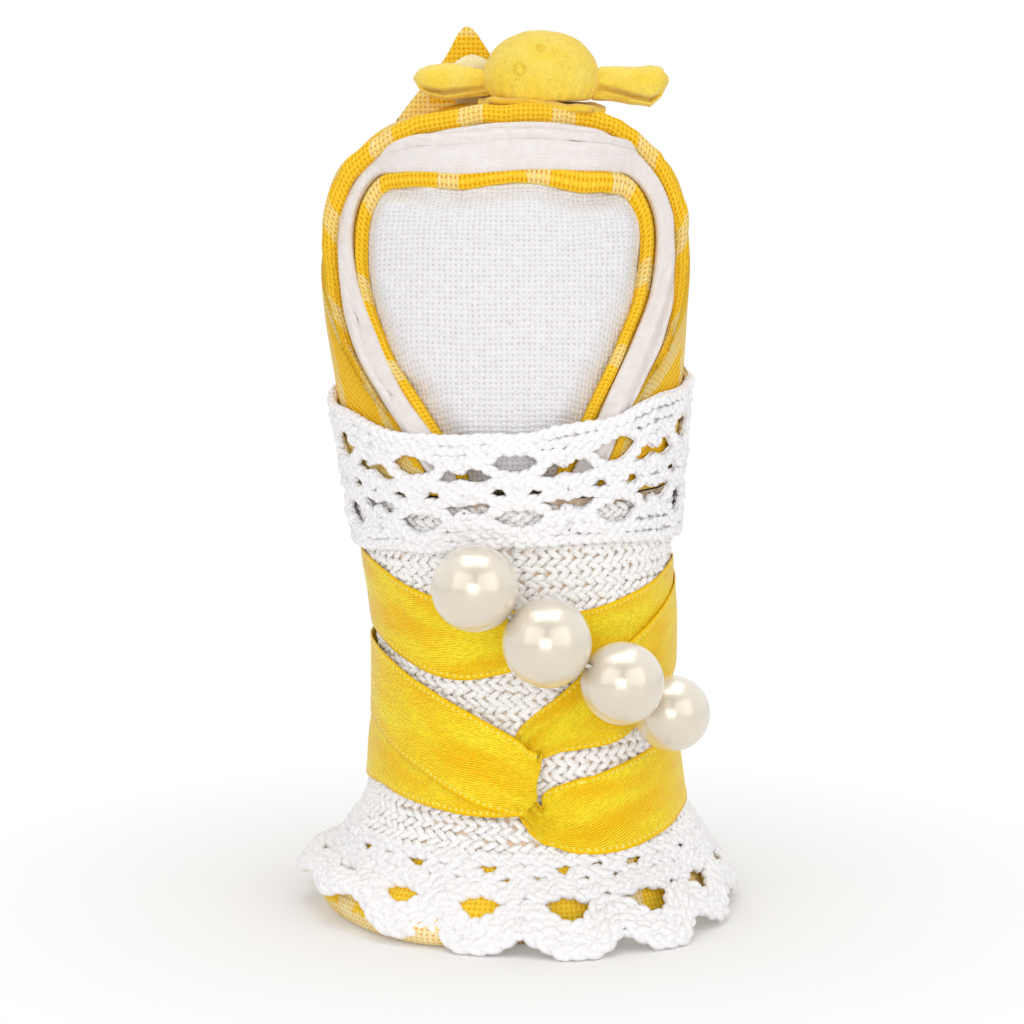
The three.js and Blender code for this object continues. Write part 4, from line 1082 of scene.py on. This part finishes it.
# Openings of a repeat: place across and up from the band's middle, half width and half height to the cords
BAND_HOLES = [(0.0, 3.2, 3.1, 1.75), (0.2, -3.3, 3.2, 1.65), (2.4, -0.1, 1.35, 0.95), (-2.2, -0.1, 1.4, 0.95),
              (4.3, 1.95, 1.5, 1.3), (8.3, 1.95, 2.1, 1.4), (4.6, -2.0, 1.45, 1.25), (8.4, -2.0, 2.0, 1.25),
              (6.4, -0.05, 0.8, 0.7), (6.3, 4.1, 0.7, 0.6), (6.2, -4.15, 0.7, 0.6)]


def chest_band():
    """Openwork band: rows of chain that part round the openings."""
    ground, yarns = Shape(), Shape()
    around = np.linspace(0, BAND_REPEATS * BAND_REPEAT, 2401)[:-1]
    for k, middle in enumerate(sorted({sign * up for up in BAND_ROWS for sign in (1, -1)})):
        across, up = around, middle + 0 * around
        if abs(middle) < BAND_ROWS[-1]:
            across, up = open_up(around, up, BAND_HOLES, BAND_REPEAT)
        up = up + 0.14 * ripple(across, up, 2.6, 200 + k)
        angle = across / BAND_REPEAT * 360 / BAND_REPEATS + BAND_PHASE
        top, low = chest_band_edges(angle)
        height = low + (top - low) * (0.5 + up / BAND_HEIGHT)
        line = on_body(angle, height, BAND_STAND + 0.14 * ripple(across, up, 2.4, 230 + k))
        normal = body_normal(angle, height)
        chain(yarns, line, normal, 210 + k, sway=0.37, radius=0.41, stitch=1.35)
        chain_back(ground, line, normal, 0.6 * ((top - low) / BAND_HEIGHT) ** 1.3, 0.15)
    lace = yarns.build("band_lace", LACE_YARN)
    sheet = ground.build("band_ground", LACE_YARN)
    wear(lace, "crochet_cotton")
    wear(sheet, "crochet_cotton", "chest_lace_band")


# Swaddle

SWADDLE_FLAT_RADIUS = 21.2
SWADDLE_RADIUS = 23.8
SWADDLE_ROUND = 21.5
SWADDLE_TOP = 46.0
# How far the swaddle lies under the dress's outer face
SWADDLE_DEPTH = 1.4
# Radius and height from the middle of the floor up under the skirt
SWADDLE_FOOT = [(0.0, 0.35), (12.0, 0.2), (19.5, 0.0), (SWADDLE_FLAT_RADIUS, 0.0), (22.9, 0.5),
                (SWADDLE_RADIUS, 2.2), (23.2, 4.4), (20.9, 9.0), (18.5, 14.5)]
CHECK_SHIFT = 4.7


def swaddle():
    """Check cloth round the body, folded in under the core and spread a little where it stands."""
    radius, height = smooth_line(SWADDLE_FOOT, 90).T[..., None]
    angle = np.linspace(-180, 180, 361)
    deep = radius + 1.2 * smoothstep(12.0, 5.0, height) * smoothstep(12.0, 21.0, radius)
    plain = stacked(radius * np.sin(np.radians(angle)), -deep * np.cos(np.radians(angle)), height)
    share = smoothstep(6, 12, height)[..., None]
    foot = plain * (1 - share) + on_body(angle, height, -SWADDLE_DEPTH) * share
    upper = np.linspace(SWADDLE_FOOT[-1][1], SWADDLE_TOP, 30)[1:, None]
    points = np.concatenate([foot, on_body(angle, upper, -SWADDLE_DEPTH)])
    v = run_length(points[:, len(angle) // 2])[:, None]
    u = np.radians(angle) * SWADDLE_ROUND + 0 * v
    x, y, z = np.moveaxis(points, -1, 0)
    outer = smoothstep(12, 21, np.hypot(x, y))
    spread = smoothstep(8.0, 2.5, z) * outer * (2.3 * bell(angle, -52, 36) + 0.8 * bell(angle, 62, 26))
    front = smoothstep(5.5, 1.0, z) * outer * 2.4 * bell(angle, -24, 20)
    uneven = 0.3 * smoothstep(0.3, 1.5, z) * smoothstep(12, 6, z) * ripple(u, v, 7.0, 41)
    radial = unit(points * np.array([1, 1, 0]) + 1e-9)
    points = points + radial * (spread + front + uneven)[..., None]
    piece = cloth("swaddle_check", points, stacked(u, v + CHECK_SHIFT), CHECK_PAINTED_LIGHTER, SWADDLE_WALL, WELD)
    wear(piece, "check_cotton", "swaddle_cloth")


# Ribbon

RIBBON_THICKNESS = 0.3
RIBBON_SEAT = 0.3
RIBBON_PITCH = 0.42
RIBBON_ROUND = WAIST_HALF_WIDTH + FIT
# Distance between its rows of points, and how many there are across
RIBBON_STEP = 0.45
RIBBON_COLUMNS = 29
# Where the ribbon folds back on itself and where it turns under, as stations
FOLD = (6.3, 18.5, 2, 7.4)
TURN = (-721, 19.0, 1, 3.0)
TURN_RADIUS = 2.6
# Stations: angle, which runs on through every turn, height, layer and width
RIBBON_IN = [(-172, 18.6, 1), (-120, 19.4, 1), (-90, 20.6, 1), (-64, 21, 1), (-46, 20.2, 1),
             (-30, 19.6, 1.5), (-20, 19.3, 2), (-10, 19, 2, 9), (-2, 18.7, 2, 8), (4, 18.5, 2, 7.4)]
RIBBON_OUT = [(4, 18.5, 3, 7.4), (-3, 19, 3, 8), (-10, 20, 3, 9.2), (-22, 21.8, 3), (-34, 23.5, 2.6),
              (-49, 25.3, 2), (-73, 28, 2), (-104, 28.9, 2), (-127, 29, 2), (-147, 29.9, 1),
              (-180, 32.6, 1), (-225, 36, 1), (-270, 38.5, 1), (-290, 37.4, 1), (-308, 36, 1),
              (-334, 35, 1, 8.2), (-355, 36, 1, 6.6), (-370, 35.5, 1, 8), (-388, 35.3, 1),
              (-410, 36.9, 1), (-435, 39.4, 1), (-458, 39.7, 1.2), (-484, 39.6, 2), (-540, 38.9, 2),
              (-590, 37.6, 2), (-630, 35.6, 2), (-650, 33.4, 2), (-675, 29.5, 2), (-690, 27.3, 2),
              (-703, 25.6, 1.5, 7), (-710, 24.7, 1, 5.6), (-717, 23.3, 1, 4.6)]
RIBBON_END = [(-716.5, 14.6, 1, 3), (-713, 14.0, 1, 4.8), (-707, 14.2, 1, 7), (-698, 14.4, 1, 8.5),
              (-686, 14.9, 1, 9.3), (-670, 15.9, 1), (-650, 17.2, 1), (-630, 18.2, 1), (-590, 19.6, 1),
              (-552, 20.3, 1)]
# Where the ribbon is gathered tight: angle and height
PINCH = (5.6, 15.0)


def ribbon_station(angle, height, layer, width=RIBBON_WIDTH):
    stand = RIBBON_SEAT + RIBBON_THICKNESS / 2 + (layer - 1) * RIBBON_PITCH
    return math.radians(angle) * RIBBON_ROUND, height, stand, width


def ribbon_run(stations):
    """Points a step apart on a smooth curve through the stations."""
    p = np.array(stations, float)
    p = np.vstack([p[:1], p, p[-1:]])
    run = []
    for a, b, c, d in zip(p[:-3], p[1:-2], p[2:-1], p[3:]):
        count = max(1, round(float(np.linalg.norm((c - b)[:3])) / RIBBON_STEP))
        for t in np.arange(count) / count:
            run.append(0.5 * (2 * b + (c - a) * t + (2 * a - 5 * b + 4 * c - d) * t * t
                              + (3 * b - a - 3 * c + d) * t ** 3))
    return run + [p[-1]]


def ribbon_route():
    """Middle line: place round and up, stand off the dress and width."""
    middle, height, low, width = ribbon_station(*FOLD)
    fold = [(middle + RIBBON_PITCH / 2 * (math.sin(turn) - 1), height,
             low + RIBBON_PITCH / 2 * (1 - math.cos(turn)), width)
            for turn in np.linspace(0, math.pi, 9)[1:-1]]
    middle, height, low, width = ribbon_station(*TURN)
    bend = [(middle - TURN_RADIUS * math.sin(turn), height + TURN_RADIUS * math.cos(turn), low, width)
            for turn in np.linspace(0, math.pi, 7)]
    start, out, end = ([ribbon_station(*s) for s in part] for part in (RIBBON_IN, RIBBON_OUT, RIBBON_END))
    return np.array(ribbon_run(start) + fold + ribbon_run(out + bend + end))


def ribbon_lean(route):
    """Direction across the ribbon, which keeps its way over the fold."""
    ahead = np.vstack([route[1] - route[0], route[2:] - route[:-2], route[-1] - route[-2]])
    leans, lean = [], math.pi / 2
    for across, up in ahead[:, :2]:
        if math.hypot(across, up) > RIBBON_STEP:
            options = [math.atan2(up, across) + side * math.pi / 2 for side in (1, -1)]
            near = [lean + math.atan2(math.sin(o - lean), math.cos(o - lean)) for o in options]
            lean = min(near, key=lambda value: abs(value - lean))
        leans.append(lean)
    return np.array(leans)[:, None]


def ribbon():
    """One satin ribbon wound criss-cross, folded back and pinched where its turns cross in front."""
    route = ribbon_route()
    lean = ribbon_lean(route)
    share = np.linspace(-0.5, 0.5, RIBBON_COLUMNS)[None]
    round_at, up_at, stand, width = (route[:, k:k + 1] for k in range(4))
    length = run_length(route)[:, None]
    gather = np.clip(1 - width / RIBBON_WIDTH, 0, 0.6)
    pleats = 0.5 * gather * np.cos(2 * np.pi * 2.5 * share + 0.05 * length)
    cup = -0.12 * (2 * share) ** 2 + 0.1 * ripple(length, share * 9, 4.0, 81)
    angle = np.degrees((round_at + width * share * np.cos(lean)) / RIBBON_ROUND)
    height = up_at + width * share * np.sin(lean)
    across = np.radians(wrapped(angle - PINCH[0])) * RIBBON_ROUND
    away, turn = np.hypot(across, height - PINCH[1]), np.arctan2(height - PINCH[1], across)
    fan = 0.2 * bell(away, 2, 4.6) * (1 + np.cos(12 * turn + 0.6)) * smoothstep(0.2, 1.5, away)
    # The ribbon narrows above the pinch, and a corner of its upper layer is drawn in beside it
    waist = 1.2 * bell(height, 18.0, 2.4) * smoothstep(-3.0, 2.4, across) * (across < 6)
    over = smoothstep(RIBBON_SEAT + RIBBON_THICKNESS, RIBBON_SEAT + RIBBON_THICKNESS + 0.1, stand)
    corner = 1.9 * over * smoothstep(17.4, 14.6, height) * smoothstep(-5.0, 0.4, across) * (across < 6)
    angle = angle - np.degrees((waist + corner) / RIBBON_ROUND)
    pull = 0.135 * bell(away, 0.5, 2.2)
    points = on_body(angle, height, stand + pleats + cup + fan + pull)
    piece = cloth("satin_ribbon_wound", points, stacked(share * RIBBON_WIDTH, length), SATIN, SATIN_WALL)
    wear(piece, "satin", "satin_ribbon")


# Pearls

PEARL_DIAMETERS = (10.2, 10.5, 9.8, 9.0)
LACQUER = 0.06
BORE_DIAMETER = 0.6


def pearls():
    """Round beads, each bored along its joint's axis."""
    joints = {joint["child"]: joint for joint in frame["joints"]}
    for i, diameter in enumerate(PEARL_DIAMETERS, 1):
        joint = joints[f"bead_{i}"]
        centre, axis = Vector(joint["pos_m"]), Vector(joint["axis"]).normalized()
        bpy.ops.object.select_all(action="DESELECT")
        bpy.ops.mesh.primitive_uv_sphere_add(segments=64, ring_count=40, radius=(diameter / 2 + LACQUER) * MM)
        bead = bpy.context.active_object
        bead.name = f"pearl_bead_{i}"
        bpy.ops.object.mode_set(mode="EDIT")
        bpy.ops.mesh.select_all(action="DESELECT")
        work = bmesh.from_edit_mesh(bead.data)
        for vert in work.verts:
            vert.select = math.hypot(vert.co.x, vert.co.y) < BORE_DIAMETER / 2 * MM
        work.select_flush(True)
        bmesh.update_edit_mesh(bead.data)
        bpy.ops.mesh.delete(type="VERT")
        bpy.ops.mesh.select_non_manifold()
        bpy.ops.mesh.bridge_edge_loops()
        bpy.ops.mesh.select_all(action="SELECT")
        bpy.ops.mesh.normals_make_consistent(inside=False)
        bpy.ops.object.mode_set(mode="OBJECT")
        bpy.ops.object.shade_smooth_by_angle(angle=math.radians(40))
        bead.data.transform(Matrix.Translation(centre) @ axis.to_track_quat("Z", "Y").to_matrix().to_4x4())
        bead.data.materials.append(PEARL)
        wear(bead, "pearl_coat", f"pearl_{i}", body=f"bead_{i}")


# Ornament

ORNAMENT_X = 2.4
ORNAMENT_Y = -3.3
DOME_HALF_WIDTH = 7.1
DOME_HALF_DEPTH = 5.0
DOME_FOOT = 99.7
DOME_HEIGHT = 107.6 - DOME_FOOT
# Share of the dome's half width and of its height, from the top round under the foot
DOME_PROFILE = [(0.0, 1.0), (0.32, 0.97), (0.6, 0.865), (0.82, 0.69), (0.955, 0.48), (1.0, 0.29),
                (0.97, 0.13), (0.85, 0.0), (0.6, -0.03), (0.0, -0.04)]
# Small marks pressed into the dome: place across and up, radius, and whether it is a ring
DOME_MARKS = [(-0.38, 0.42, 0.62, True), (-0.02, 0.74, 0.36, True), (0.24, 0.68, 0.3, False),
              (-0.72, 0.3, 0.16, False), (-0.62, 0.52, 0.16, False), (0.12, 0.84, 0.2, False),
              (0.34, 0.5, 0.14, False), (-0.5, 0.16, 0.12, False), (0.7, 0.45, 0.16, False)]


def crown_height(x, y):
    """Height of the hood's crown over a point."""
    spread = (np.abs((x - HEAD_LEAN) / TEMPLE_HALF_WIDTH) ** HEAD_ROUNDNESS
              + np.abs(y / TEMPLE_HALF_DEPTH) ** HEAD_ROUNDNESS)
    share = np.minimum(1, spread) ** (CROWN_ROUNDNESS / HEAD_ROUNDNESS)
    return TEMPLE_HEIGHT + (CROWN_HEIGHT - TEMPLE_HEIGHT) * (1 - share) ** (1 / CROWN_ROUNDNESS)


def ornament_dome():
    """Padded dome whose cloth is gathered in under its foot."""
    turn = 2 * np.pi * np.arange(260) / 260
    reach, rise = smooth_line(DOME_PROFILE, 110).T[..., None]
    x = DOME_HALF_WIDTH * reach * np.sin(turn)
    y = -DOME_HALF_DEPTH * reach * np.cos(turn)
    z = DOME_HEIGHT * rise + 0 * x
    settled = crown_height(x + ORNAMENT_X, y + ORNAMENT_Y) + 1.0 - DOME_FOOT
    z = z + smoothstep(0.3, 0.0, rise) * np.maximum(settled, -0.3)
    out = unit(stacked(x / DOME_HALF_WIDTH ** 2, y / DOME_HALF_DEPTH ** 2, z / DOME_HEIGHT ** 2))
    dent = 0.06 * ripple(x * 1.1, z * 1.1 + y, 1.7, 91)
    gather = 0.12 * smoothstep(0.28, 0.02, rise) * np.sin(26 * turn + 2 * ripple(turn * 4, 0 * turn, 2.0, 92))
    for across, up, radius, ring in DOME_MARKS:
        away = np.hypot(x - across * DOME_HALF_WIDTH, z - up * DOME_HEIGHT)
        away = np.where(y < 0, away, 9)
        if ring:
            dent = dent - 0.4 * bell(away, radius, 0.13) + 0.05 * bell(away, 0, radius)
        else:
            dent = dent - 0.28 * bell(away, 0, radius)
    points = stacked(x + ORNAMENT_X, y + ORNAMENT_Y, z + DOME_FOOT) + out * (dent + gather)[..., None]
    piece = cloth("ornament_dome", points, stacked(x, z + y), ORNAMENT, merge=WELD, around=True)
    wear(piece, "ornament_cotton", "ornament_dome_cover", "ornament_dome_pad")


WING_LENGTH = 9.2
# Wings: place from root to tip, upper and lower edge, and how far down its front the fold lies
LEFT_WING = np.array([(0.0, 102.4, 99.9, 0.2), (0.12, 102.9, 99.75, 0.35), (0.35, 103.5, 99.5, 0.45),
                      (0.6, 103.75, 99.2, 0.5), (0.8, 103.45, 99.8, 0.55), (0.93, 102.9, 100.7, 0.6),
                      (1.0, 102.0, 101.8, 0.6)])
RIGHT_WING = np.array([(0.0, 102.6, 99.3, 0.1), (0.12, 103.2, 99.2, 0.2), (0.32, 103.25, 99.1, 0.35),
                       (0.55, 103.3, 98.7, 0.5), (0.75, 103.45, 98.4, 0.6), (0.9, 103.2, 99.6, 0.66),
                       (1.0, 102.0, 101.4, 0.6)])


def ornament_wing(name, node, side, outline, seed):
    """Puffed wing, narrow at its root, with a fold along its front."""
    reach = (1 - (1 - np.linspace(0, 1, 90)) ** 1.6)[:, None]
    top, low, fold = (np.interp(reach, outline[:, 0], outline[:, k]) for k in (1, 2, 3))
    end = np.sqrt(np.clip(1 - (np.maximum(reach - 0.72, 0) / 0.28) ** 2, 0, 1))
    half_depth = (1.1 + 2.0 * smoothstep(0, 0.6, reach)) * end + 0.02
    turn = 2 * np.pi * np.arange(120) / 120
    front, up = np.cos(turn), np.sin(turn)
    lobe = np.abs(up) ** 0.85 * np.sign(up)
    groove = 0.75 * bell(up, -fold, 0.13) * (front > 0) * smoothstep(1.0, 0.75, reach)
    depth = half_depth * np.abs(front) ** 0.8 * np.sign(front) * (1 - groove)
    pucker = 0.14 * smoothstep(0.35, 0.0, reach) * np.sin(7 * turn + seed)
    wrinkle = 0.1 * ripple(reach * 8 + 0 * turn, up * 3, 1.3, seed)
    x = ORNAMENT_X + side * (DOME_HALF_WIDTH - 0.9 + WING_LENGTH * reach)
    y = ORNAMENT_Y - depth - pucker * front
    z = (top + low) / 2 + (top - low) / 2 * lobe + (pucker + wrinkle) * up * end
    points = stacked(x, y, z)
    root, tip = (points[k:k + 1].mean(axis=1, keepdims=True) + 0 * points[:1] for k in (0, len(points) - 1))
    points = np.concatenate([root, points, tip])[:, ::-side]
    piece = cloth(name, points, points[..., ::2], ORNAMENT, merge=WELD, around=True)
    wear(piece, "ornament_cotton", node)


def ornament_strip():
    """Strip of cloth under the dome, sewn to the hood."""
    x, y = np.meshgrid(np.linspace(-7.6, 7.8, 91), np.linspace(-5.0, 2.6, 36))
    end = smoothstep(7.8, 5.6, np.abs(x))
    y = y * (0.4 + 0.6 * end) * (1 + 0.06 * ripple(x, 0 * x, 2.0, 95))
    x, y = x + ORNAMENT_X, y + ORNAMENT_Y
    lift = 0.75 + 0.85 * smoothstep(-6.2, -7.4, y) + 0.8 * smoothstep(5.0, 10.0, x)
    z = crown_height(x, y) + lift + 0.2 * ripple(x, y * 0.4, 1.1, 96)
    piece = cloth("ornament_strip", stacked(x, y, z), stacked(x, y), JERSEY_PAINTED_DARKER, BACKING_WALL)
    wear(piece, "ornament_cotton", "ornament_backing")


# Hidden body

CORE_RADIUS = 13.4
CORE_TOP = 74.0
CORE_TURNS = 4
CORE_LAYER = 2.2
CORE_PITCH = 2.7
CORE_LEAN = -0.3
CORE_FOOT = 1.2


def core():
    """Cotton rolled up tight, which is the doll's body."""
    turn = np.linspace(0, 2 * np.pi * CORE_TURNS, CORE_TURNS * 60 + 1)
    radius = CORE_RADIUS - CORE_TURNS * CORE_PITCH + CORE_PITCH * turn / (2 * np.pi)
    height = np.linspace(CORE_FOOT, CORE_TOP, 41)[:, None]
    points = stacked(CORE_LEAN + radius * np.cos(turn), radius * np.sin(turn), height)
    length = run_length(points[0])
    piece = cloth("rolled_core", points, stacked(length, height), CREAM_COTTON, CORE_LAYER)
    wear(piece, "cream_cotton", "core_roll")


# Elevations of the wadding's rings, and its depth under the hood's outer face behind the ears
WADDING_RINGS = (90, 86, 80, 73, 66, 59, 52, 45, 38, 31, 24, 17, 10, 4, 0)
WADDING_BACK = 1.6


def wadding():
    """Wadding over the roll, which rounds out the head."""
    turn = np.arange(144) * 360 / 144
    elevation = np.array(WADDING_RINGS, float)[:, None]
    direction = heading(turn, elevation)
    behind = smoothstep(72, 96, np.degrees(turn_between(direction, heading(-2, 38))))
    lumps = 0.25 * ripple(turn * 0.3 + 0 * elevation, elevation * 0.5, 6.0, 97) - 0.3
    rings = on_head(direction, -PADDING_DEPTH + behind * (PADDING_DEPTH - WADDING_BACK) + lumps)
    bore = CORE_RADIUS + FIT
    across, back = bore * np.sin(np.radians(turn)), -bore * np.cos(np.radians(turn))
    mouth = [stacked(CORE_LEAN + across * share, back * share, height)
             for share, height in ((1.0, NECK_HEIGHT), (1.0, CORE_TOP + FIT), (0.0, CORE_TOP + FIT))]
    points = np.concatenate([rings, np.stack(mouth)])
    uv = stacked(turn, points[..., 2])
    piece = cloth("head_wadding", points, uv, CREAM_COTTON, merge=WELD, around=True)
    wear(piece, "cream_cotton", "head_padding")


def finish_node(node, finish):
    """Gives a carried-over solid its material."""
    piece = frame["nodes"][node]
    piece.data.materials.clear()
    piece.data.materials.append(finish)


set_camera()
set_light()
set_floor()
bpy.context.scene.view_settings.view_transform = "Standard"

face_cloth()
inner_kerchief()
forehead_band()
hood()
reverse_fold()
swaddle()
dress()
chest_band()
ribbon()
pearls()
core()
wadding()
ornament_strip()
ornament_dome()
ornament_wing("ornament_left_wing", "ornament_wing_left", -1, LEFT_WING, 5)
ornament_wing("ornament_right_wing", "ornament_wing_right", 1, RIGHT_WING, 8)
for tied in ("roll_tie_lower", "roll_tie_upper", "pearl_thread"):
    finish_node(tied, SEWING_THREAD)
finish_node("neck_thread", RED_THREAD)
